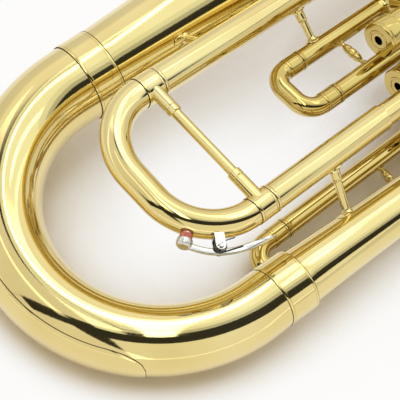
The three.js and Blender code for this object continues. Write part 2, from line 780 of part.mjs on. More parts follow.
// A round wire through points, as one closed tube of five sides
function wire(points, radius) {
  const tangents = points.map((point, index) => points[Math.min(index + 1, points.length - 1)].clone()
    .sub(points[Math.max(index - 1, 0)]).normalize());
  let across = vector(1, 0, 0);
  if (Math.abs(across.dot(tangents[0])) > Math.SQRT1_2) {
    across = vector(0, 1, 0);
  }
  const positions = [];
  const triangles = [];
  points.forEach((point, index) => {
    if (index > 0) {
      across.applyQuaternion(new THREE.Quaternion().setFromUnitVectors(tangents[index - 1],
        tangents[index]));
    }
    across.addScaledVector(tangents[index], -across.dot(tangents[index])).normalize();
    const over = across.clone().cross(tangents[index]);
    for (let corner = 0; corner < wireSides; corner += 1) {
      const angle = fullTurn * corner / wireSides;
      const place = point.clone().addScaledVector(across, radius * Math.cos(angle))
        .addScaledVector(over, -radius * Math.sin(angle));
      positions.push(place.x, place.y, place.z);
      if (index > 0) {
        const next = (corner + 1) % wireSides;
        const base = (index - 1) * wireSides;
        triangles.push(base + corner, base + next, base + wireSides + corner);
        triangles.push(base + next, base + wireSides + next, base + wireSides + corner);
      }
    }
  });
  const last = (points.length - 1) * wireSides;
  for (let corner = 1; corner < wireSides - 1; corner += 1) {
    triangles.push(0, corner + 1, corner, last, last + corner, last + corner + 1);
  }
  const geometry = new THREE.BufferGeometry();
  geometry.setAttribute('position', new THREE.Float32BufferAttribute(positions, 3));
  geometry.setIndex(triangles);
  return geometry;
}

// Valve places and directions, seen along the valves: towards the next valve, and towards the back
const rowLine = vector(Math.cos(valveRowTurn), 0, -Math.sin(valveRowTurn));
const backLine = vector(-Math.sin(valveRowTurn), 0, -Math.cos(valveRowTurn));
const valveAxis = (index) => vector(valveX, 0, valveZ).addScaledVector(rowLine, index * valveSpacing);
const flat = (x, z) => vector(x, 0, z);
const outletFoot = vector(mainSpacing, 0, 0).applyMatrix4(mainSlide.matrix);

// Tube ends that reach a valve: which valve, the direction they come from, and the height
const portLines = {
  lead: { valve: 0, line: rowLine.clone().negate(), height: portUpper },
  outlet: { valve: 2, line: flat(outletFoot.x, outletFoot.z).sub(valveAxis(2)).normalize(),
    height: portOutlet },
  firstLeft: { valve: 0, line: flat(firstLeftX, firstLeftZ).sub(valveAxis(0)).normalize(),
    height: portLeftLower },
  firstRight: { valve: 0, line: flat(firstRightX, firstRightZ).sub(valveAxis(0)).normalize(),
    height: portRightLower },
  secondUpper: { valve: 1, line: backLine, height: secondPortUpper },
  secondLower: { valve: 1, line: backLine, height: secondPortLower },
  thirdLeft: { valve: 2, line: flat(thirdLeftX, thirdLeftZ).sub(valveAxis(2)).normalize(),
    height: portLeftLower },
  thirdRight: { valve: 2, line: flat(thirdRightX, thirdRightZ).sub(valveAxis(2)).normalize(),
    height: portRightLower },
};
const portCentre = (port) => valveAxis(port.valve).setY(port.height);

function portBore(port, inside = 0) {
  return barAlong(portCentre(port).addScaledVector(port.line, inside),
    portCentre(port).addScaledVector(port.line, casingRadius + cutOverrun), portBoreRadius, portSides);
}

function crossBores(index) {
  const bores = [];
  if (index > 0) {
    bores.push({ valve: index, line: rowLine.clone().negate(), height: portUpper });
  }
  if (index < 2) {
    bores.push({ valve: index, line: rowLine, height: portUpper });
  }
  return bores;
}

// The tubes brazed to a casing: the way over to the next valve, and the second valve's two slide tubes
function knuckles(index) {
  const tubes = [];
  if (index < 2) {
    const next = portCentre({ valve: index + 1, height: portUpper });
    tubes.push(cut(tubeBetween(portCentre({ valve: index, height: portUpper }), next, up),
      casingClear(index + 1)));
  }
  if (index === 1) {
    for (const port of [portLines.secondUpper, portLines.secondLower]) {
      const end = portCentre(port).addScaledVector(backLine, secondReceiverEnd);
      tubes.push(tubeBetween(portCentre(port), end, up), openBead(end, backLine, up));
    }
  }
  return tubes;
}

function buildValves() {
  const casingBore = casingRadius - brassWall;
  const pistonRadius = casingBore - pistonGap;
  const capInside = casingRadius + fitGap;
  for (let index = 0; index < 3; index += 1) {
    const axis = valveAxis(index);
    const number = index + 1;
    const stand = (geometry) => geometry.translate(axis.x, 0, axis.z);
    const ports = [...Object.values(portLines).filter((port) => port.valve === index),
      ...crossBores(index)];

    const casing = join(stand(bar(casingRadius, casingBottom, casingTop, middleSides)),
      ...knuckles(index));
    const bore = stand(bar(casingBore, casingBottom - cutOverrun, casingTop + cutOverrun, middleSides));
    place(block, `valve_casing_${number}`, cut(casing, bore, ...ports.map((port) => portBore(port))),
      lacqueredBrass);

    const capBottom = bottomCapFace;
    const floor = capBottom + capFaceThickness;
    place(block, `valve_bottom_cap_${number}`, stand(turned([
      [capVentRadius, capBottom], [capRadius - capEdge, capBottom], [capRadius, capBottom + capEdge],
      [capRadius, casingBottom + bottomCapLap], [capInside, casingBottom + bottomCapLap],
      [capInside, floor], [capVentRadius, floor], [capVentRadius, capBottom],
    ], middleSides)), lacqueredBrass);

    const capTop = casingTop + topCapHeight - topCapLap;
    const ceiling = casingTop + seatGap;
    place(block, `valve_top_cap_${number}`, stand(turned([
      [topCapHole, ceiling], [capInside, ceiling], [capInside, casingTop - topCapLap],
      [capRadius, casingTop - topCapLap], [capRadius, capTop - capEdge], [capRadius - capEdge, capTop],
      [topCapHole, capTop], [topCapHole, ceiling],
    ], middleSides)), lacqueredBrass);

    // Piston: a hollow shell, open below, with its stem on top and ways for both of its positions
    const feltBase = capTop + seatGap;
    const feltTop = feltBase + feltThickness;
    const buttonBase = feltTop + seatGap + valveTravel;
    const shell = stand(turned([
      [pistonRadius - pistonWall, pistonBottom], [pistonRadius, pistonBottom], [pistonRadius, pistonTop],
      [stemRadius, pistonTop], [stemRadius, buttonBase - seatGap], [0, buttonBase - seatGap],
      [0, pistonTop - pistonWall], [pistonRadius - pistonWall, pistonTop - pistonWall],
      [pistonRadius - pistonWall, pistonBottom],
    ], middleSides));
    const pressedPorts = ports.map((port) => ({ ...port, height: port.height + valveTravel }));
    const ways = [...ports, ...pressedPorts];
    place(block, `valve_piston_${number}`, cut(shell, ...ways.map((port) => portBore(port))), monel);

    place(block, `valve_felt_${number}`, stand(turned([
      [topCapHole, feltBase], [feltRadius, feltBase], [feltRadius, feltTop], [topCapHole, feltTop],
      [topCapHole, feltBase],
    ], smallSides)), felt);
    const buttonTop = buttonBase + buttonThickness;
    place(block, `finger_button_${number}`, stand(turned([
      [0, buttonBase], [buttonRadius - capEdge, buttonBase], [buttonRadius, buttonBase + capEdge],
      [buttonRadius, buttonTop - capEdge], [buttonRadius - capEdge, buttonTop],
      [buttonDishRadius, buttonTop],
      [buttonDishRadius, buttonTop - buttonDishDepth], [0, buttonTop - buttonDishDepth],
    ], middleSides)), lacqueredBrass);
    place(block, `button_pearl_${number}`, stand(bar(buttonDishRadius - seatGap,
      buttonTop - buttonDishDepth + seatGap, buttonTop + buttonPearlRise, middleSides)), pearl);

    const low = floor + seatGap + valveSpringWire / 2;
    const high = pistonBottom - seatGap - valveSpringWire / 2;
    const points = [];
    const steps = valveSpringCurls * curlSteps;
    for (let step = 0; step <= steps; step += 1) {
      const angle = fullTurn * valveSpringCurls * step / steps;
      points.push(vector(axis.x + valveSpringRadius * Math.cos(angle), low + (high - low) * step / steps,
        axis.z + valveSpringRadius * Math.sin(angle)));
    }
    place(block, `valve_spring_${number}`, wire(points, valveSpringWire / 2), springSteel);
  }
}

// A bar round a casing that trims the tubes which meet it
const casingClear = (index) => bar(casingRadius + seatGap, 0, casingTop + casingRadius, middleSides)
  .translate(valveAxis(index).x, 0, valveAxis(index).z);

// A tube from a slide's open end that bends into a valve, with a bead round the open end
function valveTube(foot, port, side) {
  const turn = foot.clone().setY(port.height);
  const tube = bentTube({
    stations: bentPath([foot, turn, portCentre(port)], slidePortCorner), outer: even(slideRadius),
    wall: brassWall, sides: smallSides, side,
  });
  return cut(join(tube, openBead(foot, down, side)), casingClear(port.valve));
}

// The direction square to the plane of a slide's bend
const bendSide = (ends, out) => ends[1].clone().sub(ends[0]).normalize().cross(out).normalize();

// A valve slide: bend, sleeves and legs soldered into one piece, pulled out along one direction
function slideBody({ ends, out, drop, corner, sleeveLength, legLength }) {
  const at = (end, distance) => end.clone().addScaledVector(out, distance);
  const joint = jointGap + sleeveLength / 2;
  const bend = jointGap + sleeveLength + drop + corner;
  const side = bendSide(ends, out);
  const legRadius = slideRadius - brassWall - fitGap;
  const crook = bentTube({
    stations: bentPath([at(ends[0], joint + jointGap), at(ends[0], bend), at(ends[1], bend),
      at(ends[1], joint + jointGap)], corner),
    outer: even(slideRadius), wall: brassWall, sides: smallSides, side,
  });
  const parts = ends.flatMap((end) => [
    aimed(sleeve(slideRadius - brassWall / 2, legRadius - brassWall / 2, slideRadius, sleeveLength,
      smallSides),
      at(end, jointGap), out, side),
    aimed(pipe(legRadius, brassWall, 0, legLength + joint - jointGap, smallSides),
      at(end, -legLength), out, side),
  ]);
  return join(crook, ...parts);
}

function buildValveSlides() {
  const firstY = firstFerruleBottom + slideFerruleLength + jointGap;
  const thirdY = thirdFerruleBottom + slideFerruleLength + jointGap;
  const firstEnds = [vector(firstLeftX, firstY, firstLeftZ), vector(firstRightX, firstY, firstRightZ)];
  const thirdEnds = [vector(thirdLeftX, thirdY, thirdLeftZ), vector(thirdRightX, thirdY, thirdRightZ)];
  const secondEnds = [portLines.secondUpper, portLines.secondLower].map((port) => (
    portCentre(port).addScaledVector(backLine, secondReceiverEnd)));

  const firstSide = bendSide(firstEnds, down);
  const thirdSide = bendSide(thirdEnds, down);

  const braceEnds = firstEnds.map((end) => end.clone().setY(firstBraceHeight));
  const braceLine = braceEnds[1].clone().sub(braceEnds[0]);
  const hollow = (x, z) =>
    bar(slideRadius - brassWall / 2, firstY, portLeftLower, smallSides).translate(x, 0, z);
  const length = braceLine.length();
  const spindle = cut(aimed(turned([
    [0, 0], [firstBraceTip, 0], [firstBraceTip, length * spindleNeckShare], [firstBraceRadius, length / 2],
    [firstBraceTip, length - length * spindleNeckShare], [firstBraceTip, length], [0, length],
  ], smallSides), braceEnds[0], braceLine), hollow(firstLeftX, firstLeftZ),
    hollow(firstRightX, firstRightZ));
  place(block, 'first_slide_tubes', join(
    valveTube(firstEnds[0], portLines.firstLeft, firstSide),
      valveTube(firstEnds[1], portLines.firstRight, firstSide),
    spindle,
  ), lacqueredBrass);
  place(block, 'first_slide', slideBody({
    ends: firstEnds, out: down, drop: firstCrookDrop, corner: slideCornerRadius,
    sleeveLength: slideFerruleLength, legLength: firstLegLength,
  }), lacqueredBrass);

  place(block, 'third_slide_tube_left', valveTube(thirdEnds[0], portLines.thirdLeft, thirdSide),
    lacqueredBrass);
  place(block, 'third_slide_tube_right', valveTube(thirdEnds[1], portLines.thirdRight, thirdSide),
    lacqueredBrass);
  place(block, 'third_slide', slideBody({
    ends: thirdEnds, out: down, drop: thirdCrookDrop, corner: slideCornerRadius,
    sleeveLength: slideFerruleLength, legLength: thirdLegLength,
  }), lacqueredBrass);
  place(block, 'second_slide', slideBody({
    ends: secondEnds, out: backLine, drop: secondCrookDrop, corner: secondCornerRadius,
    sleeveLength: secondFerruleLength, legLength: secondLegLength,
  }), lacqueredBrass);

  const outlet = portLines.outlet;
  const foot = outletFoot.clone().setY(mainReceiverRightTop + jointGap);
  place(block, 'outlet_tube', cut(bentTube({
    stations: bentPath([foot, foot.clone().setY(outlet.height), portCentre(outlet)], outletCorner),
    outer: even(mainOutletRadius), wall: brassWall, sides: smallSides,
  }), casingClear(2)), lacqueredBrass);
}

// Leadpipe, mouthpiece receiver and mouthpiece
const leadCross = vector(leadCrossX, leadCrossY, leadCrossZ);
const leadEndReach = flareRadiusAt(leadEndHeight) + leadBellGap;
const leadEnd = vector(leadEndReach * Math.sin(leadEndTurn), leadEndHeight,
  leadEndReach * Math.cos(leadEndTurn));
const leadLine = leadEnd.clone().sub(leadCross).normalize();

function buildLeadpipe() {
  const start = portCentre(portLines.lead);
  const reach = start.clone().addScaledVector(portLines.lead.line, leadFirstReach);
  const clear = casingClear(0).applyMatrix4(block.matrix);
  place(instrument, 'leadpipe', cut(bentTube({
    stations: bentPath([fromBlock(start), fromBlock(reach), leadCross, leadEnd], leadBend),
    outer: between(leadRadius, leadEndRadius), wall: brassWall, sides: smallSides,
  }), clear), lacqueredBrass);
  const lap = receiverLength - mouthpieceInsert;
  const tipBore = mouthpieceTip + fitGap;
  const seat = leadEndRadius + 2 * fitGap;
  const mouthBore = mouthpieceShank + fitGap;
  place(instrument, 'mouthpiece_receiver', aimed(turned([
    [seat, 0], [receiverRadius, 0], [receiverRadius, receiverLength - receiverBeadLength],
    [receiverRadius + receiverBead, receiverLength - receiverBeadLength],
    [receiverRadius + receiverBead, receiverLength], [mouthBore, receiverLength],
    [tipBore, lap + jointGap],
    [seat, lap + jointGap], [seat, 0],
  ], middleSides), leadEnd.clone().addScaledVector(leadLine, -lap), leadLine), nickelSilver);
  const cupStart = mouthpieceLength - mouthpieceCupDepth;
  const rim = mouthpieceCupRadius - mouthpieceCupBore;
  place(instrument, 'mouthpiece', aimed(turned([
    [mouthpieceTip, 0], [mouthpieceShank, mouthpieceInsert], [mouthpieceShank + brassWall, cupStart],
    [mouthpieceCupBore, cupStart + mouthpieceShank],
    [mouthpieceCupRadius - rim / 2, cupStart + mouthpieceCupBore],
    [mouthpieceCupRadius - rim / 2, mouthpieceLength - rim],
    [mouthpieceCupRadius, mouthpieceLength - rim / 2],
    [mouthpieceCupRadius - capEdge, mouthpieceLength], [mouthpieceCupBore + capEdge, mouthpieceLength],
    [mouthpieceCupBore, mouthpieceLength - capEdge],
    [mouthpieceCupBore - capEdge, cupStart + mouthpieceCupBore],
    [mouthpieceThroat, cupStart], [mouthpieceTip - capEdge, 0], [mouthpieceTip, 0],
  ], middleSides), leadEnd.clone().addScaledVector(leadLine, 2 * jointGap), leadLine), silverPlate);
}

// Struts between the tubes, each trimmed to what it stands on
function buildStruts() {
  const inBlock = (geometry) => geometry.applyMatrix4(block.matrix);
  const receiverClear = (x, radius) => inBlock(bar(radius + seatGap, 0, mainReceiverLeftTop, middleSides)
    .translate(x, 0, 0).applyMatrix4(mainSlide.matrix));
  const leftPoint = (height) => fromBlock(vector(mainLeftX, height, mainLeftZ));
  const slidePoint = (x, height) => fromBlock(vector(x, height, 0).applyMatrix4(mainSlide.matrix));
  const tubeClear = (x, z) =>
    inBlock(bar(slideRadius + 2 * seatGap, 0, casingTop, middleSides).translate(x, 0, z));
  const branchClear = bentTube({
    stations: branchStations, outer: (share) => branchRadiusAt(share) + seatGap, sides: largeSides,
  });
  const slideStrutHeight = mainReceiverLeftTop - slideStrutBelowTop;
  const branchPoint = (height) => branchFoot.clone().addScaledVector(branchLine, height / branchLine.y);
  const bellClear = turned([
    [0, bellStart], ...bellOutside.map(([radius, height]) => [radius + seatGap, height]),
    [0, bellLipHeight],
  ], bellSides);
  place(instrument, 'slide_brace', strut(leftPoint(slideStrutHeight),
    fromBlock(vector(firstLeftX, slideStrutHeight, firstLeftZ)),
    [receiverClear(0, mainLeftRadius), tubeClear(firstLeftX, firstLeftZ)]), lacqueredBrass);
  place(instrument, 'branch_brace', strut(slidePoint(mainSpacing, branchStrutHeight),
    branchPoint(branchStrutHeight), [receiverClear(mainSpacing, mainRightRadius), branchClear]),
      lacqueredBrass);
  place(instrument, 'bell_brace', strut(vector(0, bellStrutHeight, 0), leftPoint(bellStrutHeight),
    [bellClear, receiverClear(0, mainLeftRadius)]), lacqueredBrass);
}

buildBell();
buildBottomBow();
buildBranches();
buildMainSlide();
buildWaterKey();
buildValves();
buildValveSlides();
buildLeadpipe();
buildStruts();

// Lay the instrument down: it rests on the bell rim and on the bottom bow
instrument.rotation.set(restPitch, restRoll, 0);
const bounds = new THREE.Box3().setFromObject(euphonium, true);
instrument.position.set(-(bounds.min.x + bounds.max.x) / 2, -(bounds.min.y + bounds.max.y) / 2,
  -bounds.min.z);

export default euphonium;
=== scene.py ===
"""Three-valve euphonium in clear-lacquered brass, lying on a white table."""
from math import ceil, copysign, cos, degrees, pi, radians, sin, sqrt, tan

import bmesh
import bpy
from mathutils import Matrix, Quaternion, Vector


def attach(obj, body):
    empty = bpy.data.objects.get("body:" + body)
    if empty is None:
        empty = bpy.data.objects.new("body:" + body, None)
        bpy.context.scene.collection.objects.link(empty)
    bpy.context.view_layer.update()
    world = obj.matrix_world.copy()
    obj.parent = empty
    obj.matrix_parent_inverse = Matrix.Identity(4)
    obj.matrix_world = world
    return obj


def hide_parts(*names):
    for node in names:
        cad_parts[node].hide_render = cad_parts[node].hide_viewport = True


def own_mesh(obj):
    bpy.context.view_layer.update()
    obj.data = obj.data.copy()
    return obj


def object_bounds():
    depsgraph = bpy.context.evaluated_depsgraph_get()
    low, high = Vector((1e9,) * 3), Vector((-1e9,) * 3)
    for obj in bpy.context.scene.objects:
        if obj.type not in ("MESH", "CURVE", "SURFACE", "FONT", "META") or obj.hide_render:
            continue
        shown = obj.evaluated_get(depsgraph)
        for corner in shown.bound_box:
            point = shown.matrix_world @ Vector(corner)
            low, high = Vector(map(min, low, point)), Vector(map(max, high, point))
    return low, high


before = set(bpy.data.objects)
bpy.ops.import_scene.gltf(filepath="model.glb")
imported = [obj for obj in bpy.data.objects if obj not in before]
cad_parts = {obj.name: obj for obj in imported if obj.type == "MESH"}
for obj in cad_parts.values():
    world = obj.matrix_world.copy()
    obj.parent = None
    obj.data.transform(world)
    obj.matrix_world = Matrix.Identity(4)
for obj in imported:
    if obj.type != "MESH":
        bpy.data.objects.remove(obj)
cad_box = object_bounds()

# Shapes are in millimetres, in the instrument's own axes: X from the bell leg to the branch leg, Y along
# the bell leg to the bell, Z to the side that faces up. Table, lamps and camera are in metres.
MM = 0.001
TINY = 1e-6


def V(x, y, z):
    return Vector((x, y, z))


def turn(x, y, z):
    """Rotation about X, then about the turned Y, then about the turned Z, in degrees."""
    return (Matrix.Rotation(radians(x), 4, "X") @ Matrix.Rotation(radians(y), 4, "Y")
            @ Matrix.Rotation(radians(z), 4, "Z"))


def left_leg(height):
    """A point on the axis of the main slide's left leg, in the axes of the valve block."""
    return V(62.6, height, 50.7)


# How the instrument lies, and the axes that lean in it: the valve block's and the main slide's
HORN = Matrix.Translation((-59.17729, -176.03223, 60.0162)) @ turn(9.16, 5.2, 0)
LEAN = turn(-7.52, 0, 2.72)
BLOCK = HORN @ LEAN
MAIN = BLOCK @ Matrix.Translation(left_leg(0)) @ turn(0, 3, 0)

# Outside radii of the tubes at their joints, and their walls
BELL_LEG, BRANCH_LEG = 32.3, 23.9
TOP_BOW, INNER_BRANCH = 17.2, 15.0
MAIN_LEFT, MAIN_RIGHT = 12.0, 10.6
OUTLET, SLIDE = 9.4, 8.0
BELL_WALL, WALL = 1.1, 0.9
# A slide's leg is this much thinner than the tube that it moves in
LEG_DROP = 1.3
# Half the gap between two tubes that meet in a sleeve
JOINT = 0.3


# ------ colours and materials
def srgb(code):
    """A hex colour as linear red, green, blue and alpha."""
    parts = [int(code[i:i + 2], 16) / 255 for i in (1, 3, 5)]
    return tuple(c / 12.92 if c <= 0.04045 else ((c + 0.055) / 1.055) ** 2.4 for c in parts) + (1.0,)


class Nodes:
    """A node tree. Inputs are named with _ for a space, or by number, as in _0."""

    def __init__(self, tree):
        self.tree = tree

    def add(self, kind, settings=None, **inputs):
        node = self.tree.nodes.new(kind)
        for key, value in (settings or {}).items():
            setattr(node, key, value)
        self.put(node, **inputs)
        return node

    def put(self, node, **inputs):
        for key, value in inputs.items():
            name = key.replace("_", " ").strip()
            socket = node.inputs[int(name) if name.isdigit() else name]
            if isinstance(value, bpy.types.NodeSocket):
                self.tree.links.new(value, socket)
            else:
                socket.default_value = value

    def ramp(self, value, *stops):
        """Stops are a place from 0 to 1 and a hex colour or a level of grey."""
        node = self.add("ShaderNodeValToRGB", Fac=value)
        elements = node.color_ramp.elements
        while len(elements) < len(stops):
            elements.new(0.5)
        for element, (place, colour) in zip(elements, stops):
            element.position = place
            element.color = srgb(colour) if isinstance(colour, str) else (colour, colour, colour, 1)
        return node.outputs["Color"]


class Finish(Nodes):
    """One procedural material; sizes are in millimetres on the object."""

    def __init__(self, name):
        self.material = bpy.data.materials.new(name)
        self.material.use_nodes = True
        super().__init__(self.material.node_tree)
        self.shader = self.tree.nodes["Principled BSDF"]
        self.place = self.add("ShaderNodeTexCoord").outputs["Object"]

    def set(self, **inputs):
        self.put(self.shader, **inputs)

    def noise(self, size, detail=3.0, stretch=None):
        """Noise whose features are about size across."""
        place = self.place
        if stretch:
            place = self.add("ShaderNodeMapping", Vector=place, Scale=stretch).outputs["Vector"]
        return self.add("ShaderNodeTexNoise", Vector=place, Scale=1 / (size * MM), Detail=detail,
                        Roughness=0.5).outputs["Fac"]

    def level(self, value, low, high):
        """Value from 0..1 stretched to low..high."""
        return self.add("ShaderNodeMapRange", {"clamp": True}, Value=value, To_Min=low,
                        To_Max=high).outputs["Result"]

    def bump(self, height, depth, strength=1.0, **under):
        return self.add("ShaderNodeBump", Height=height, Distance=depth * MM, Strength=strength,
                        **under).outputs["Normal"]


def lacquered_brass(name, dark, middle, light):
    """Yellow brass, buffed bright, under clear lacquer: buffing lines, orange peel, a drift of tone."""
    f = Finish(name)
    drift = f.noise(70, 2)
    f.set(Base_Color=f.ramp(drift, (0.3, dark), (0.5, middle), (0.72, light)), Metallic=1.0)
    buffing = f.noise(0.9, 4, stretch=(1, 0.08, 1))
    f.set(Roughness=f.level(buffing, 0.035, 0.11))
    peel = f.bump(f.noise(5, 1), 0.012)
    f.set(Normal=f.bump(buffing, 0.0012, Normal=peel))
    f.set(Coat_Weight=0.6, Coat_Roughness=0.03, Coat_IOR=1.5)
    return f.material


def bare_metal(name, dark, light, size, detail, smooth, rough, stretch=None):
    """A metal whose fine marks change its tone and its roughness."""
    f = Finish(name)
    marks = f.noise(size, detail, stretch)
    f.set(Base_Color=f.ramp(marks, (0.3, dark), (0.7, light)), Metallic=1.0)
    f.set(Roughness=f.level(marks, smooth, rough))
    return f


def nickel_silver():
    """Nickel silver: cooler and greyer than brass, polished, with handling haze."""
    f = bare_metal("polished_nickel_silver", "#c9c5ba", "#dcd9d0", 6, 4, 0.1, 0.26)
    f.set(Normal=f.bump(f.noise(1.2, 3), 0.004))
    return f.material


def silver_plate():
    """Silver plate on the mouthpiece."""
    return bare_metal("silver_plate", "#dad8d2", "#eceae5", 9, 3, 0.06, 0.16).material


def lapped_monel():
    """Piston skin: nickel alloy lapped to a fine cross grain, with a film of oil."""
    f = bare_metal("lapped_monel", "#8d8a82", "#a7a49b", 0.6, 4, 0.22, 0.4, stretch=(1, 0.2, 1))
    f.set(Coat_Weight=0.3, Coat_Roughness=0.1)
    return f.material


def solder_and_gap_shade():
    """The dark line at the end of a sleeve: solder and old polish, darkened as painted shade of the gap
    there.
    """
    f = Finish("solder_line_with_painted_shade")
    solder_and_shade_tone = f.noise(2, 4)
    f.set(Base_Color=f.ramp(solder_and_shade_tone, (0.3, "#33260c"), (0.7, "#6a5220")), Metallic=0.6, Roughness=0.5)
    return f.material


def spring_wire():
    """Blued steel spring wire with drawing lines."""
    return bare_metal("blued_spring_steel", "#3a3734", "#5d5952", 0.4, 3, 0.25, 0.45).material


def dyed_cork():
    """Red-dyed cork: open pores and paler grains."""
    f = Finish("dyed_cork")
    cells = f.add("ShaderNodeTexVoronoi", Vector=f.place, Scale=1 / (1.1 * MM)).outputs["Distance"]
    f.set(Base_Color=f.ramp(f.noise(1.4, 4), (0.3, "#ac4a38"), (0.55, "#cf765c"), (0.8, "#e39b80")))
    f.set(Roughness=0.85, Normal=f.bump(cells, 0.15, 0.8))
    return f.material


def pressed_felt():
    """Pressed wool felt: short tangled fibres."""
    f = Finish("pressed_wool_felt")
    fibre = f.noise(0.35, 5, stretch=(1, 1, 4))
    f.set(Base_Color=f.ramp(fibre, (0.3, "#4b1418"), (0.7, "#7c2a2c")), Roughness=0.95)
    f.set(Sheen_Weight=0.4, Sheen_Roughness=0.5, Normal=f.bump(fibre, 0.12))
    return f.material


def shell_pearl():
    """Mother-of-pearl inlay: soft bands and a wet gloss."""
    f = Finish("mother_of_pearl")
    bands = f.noise(3.5, 3, stretch=(1, 2.5, 1))
    f.set(Base_Color=f.ramp(bands, (0.35, "#d8d2c6"), (0.5, "#efeae0"), (0.65, "#dfe0df")))
    f.set(Roughness=0.16, Coat_Weight=0.6, Coat_Roughness=0.05)
    return f.material


BRASS = lacquered_brass("lacquered_yellow_brass", "#dfca82", "#e5d08a", "#ead998")
# The same lacquered brass on the small tubes and the valves, with a darker base colour as painted shade:
# it stands in for the darker reflections of the neighbouring valves and tubes
SHADED_BRASS = lacquered_brass("brass_with_painted_shade", "#c6ac5c", "#cfb768", "#d8c27a")
NICKEL = nickel_silver()
SILVER = silver_plate()
MONEL = lapped_monel()
SPRING = spring_wire()
CORK = dyed_cork()
FELT = pressed_felt()
PEARL = shell_pearl()
SOLDER_AND_SHADE = solder_and_gap_shade()


# ------ mesh building
# Edges that turn more than this are shaded sharp
SHARP = radians(28)


def new_object(name, data):
    thing = bpy.data.objects.new(name, data)
    bpy.context.scene.collection.objects.link(thing)
    return thing


def circle(sides):
    """Sine and cosine of evenly spaced angles."""
    angles = [2 * pi * k / sides for k in range(sides)]
    return [(sin(t), cos(t)) for t in angles]


class Piece:
    """Collects shells in millimetres and turns them into one object."""

    def __init__(self, name):
        self.name = name
        self.points = []
        self.faces = []

    def rings(self, rings, closed=False):
        """Joins rings of equally many points; a ring of one point is a pole."""
        starts = []
        for ring in rings:
            starts.append((len(self.points), len(ring)))
            self.points.extend(ring)
        pairs = list(zip(starts, starts[1:]))
        if closed:
            pairs.append((starts[-1], starts[0]))
        for (a, count_a), (b, count_b) in pairs:
            count = max(count_a, count_b)
            for i in range(count):
                j = (i + 1) % count
                corners = [a + i % count_a, a + j % count_a, b + j % count_b, b + i % count_b]
                self.faces.append(tuple(dict.fromkeys(corners)))

    def lathe(self, outline, matrix, sides=64):
        """Turns pairs of radius and height about Y; the outline closes unless it starts on the axis."""
        rings = []
        around = circle(sides)
        for radius, height in outline:
            spokes = around if radius >= TINY else [(0, 0)]
            rings.append([matrix @ V(radius * s, height, radius * c) for s, c in spokes])
        self.rings(rings, closed=len(rings[0]) > 1)
        return self

    def tube(self, stations, radius, wall, matrix, sides=64, side=None):
        """A round tube on stations, solid if wall is 0; radius is a function of the share of its length."""
        total = stations[-1][2]
        around = circle(sides)
        across = Vector(side or (0, 0, 1))
        before = None
        outer = []
        inner = []
        for point, tangent, along in stations:
            if before is not None:
                across = before.rotation_difference(tangent) @ across
            before = tangent
            across = (across - tangent * across.dot(tangent)).normalized()
            over = across.cross(tangent)
            size = radius(along / total)
            spokes = [across * s + over * c for s, c in around]
            outer.append([matrix @ (point + spoke * size) for spoke in spokes])
            if wall:
                inner.append([matrix @ (point + spoke * (size - wall)) for spoke in spokes])
        if wall:
            self.rings(outer + inner[::-1], closed=True)
        else:
            self.rings([[matrix @ stations[0][0]]] + outer + [[matrix @ stations[-1][0]]])
        return self

    def done(self, body, *nodes, finish=BRASS):
        """Makes the object, which moves with body and stands for the CAD nodes that are named."""
        mesh = bpy.data.meshes.new(self.name)
        mesh.from_pydata([tuple(point * MM) for point in self.points], [], self.faces)
        shape = bmesh.new()
        shape.from_mesh(mesh)
        bmesh.ops.recalc_face_normals(shape, faces=shape.faces)
        shape.to_mesh(mesh)
        shape.free()
        mesh.shade_smooth()
        mesh.set_sharp_from_angle(angle=SHARP)
        piece = new_object(self.name, mesh)
        mesh.materials.append(finish)
        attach(piece, body)
        if nodes:
            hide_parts(*nodes)
        return piece


def path(corners, bend, step=4, run=12.0):
    """Straight runs joined by round bends: stations of point, tangent and distance along.

    bend is one radius, or a list with one for each inner corner. Stations lie step degrees apart on a bend
    and about run apart on a straight.
    """
    stations = []
    same_point = 0.05

    def add(point, tangent):
        along = 0.0
        if stations:
            gap = (point - stations[-1][0]).length
            if gap < same_point:
                return
            along = stations[-1][2] + gap
        stations.append((point.copy(), tangent.copy(), along))

    start = corners[0].copy()
    for i in range(1, len(corners)):
        corner = corners[i]
        inward = (corner - corners[i - 1]).normalized()
        last = i == len(corners) - 1
        outward = inward if last else (corners[i + 1] - corner).normalized()
        angle = 0 if last else inward.angle(outward)
        radius = bend[i - 1] if isinstance(bend, list) and not last else bend
        lead = 0 if last else radius * tan(angle / 2)
        arc_start = corner - inward * lead
        pieces = max(1, round((arc_start - start).length / run))
        for k in range(pieces + (0 if lead > 0 else 1)):
            add(start.lerp(arc_start, k / pieces), inward)
        if lead > 0:
            axis = inward.cross(outward).normalized()
            to_centre = axis.cross(inward)
            centre = arc_start + to_centre * radius
            steps = max(2, ceil(degrees(angle) / step))
            for k in range(steps + 1):
                spin = Quaternion(axis, angle * k / steps)
                add(centre + spin @ (to_centre * -radius), spin @ inward)
        start = corner + outward * lead
    return stations


def tangent_at(points, i):
    """The direction of a line of points at one of them."""
    return (points[min(i + 1, len(points) - 1)] - points[max(i - 1, 0)]).normalized()


def wire_path(points):
    """Stations through a list of close points."""
    stations = []
    along = 0.0
    for i, point in enumerate(points):
        along += (point - points[i - 1]).length if i else 0
        stations.append((point, tangent_at(points, i), along))
    return stations


def smooth(points, steps):
    """A Catmull-Rom curve through the points, with steps from one to the next."""
    out = []
    for i in range(len(points) - 1):
        a, b, c, d = (points[min(max(i + k, 0), len(points) - 1)] for k in (-1, 0, 1, 2))
        for k in range(steps):
            t = k / steps
            out.append(0.5 * (2 * b + (c - a) * t + (2 * a - 5 * b + 4 * c - d) * t ** 2
                              + (3 * b - a - 3 * c + d) * t ** 3))
    return out + [points[-1]]


def taper(start, end):
    """A radius that changes evenly along a tube."""
    return lambda share: start + (end - start) * share


def even(radius):
    return lambda share: radius


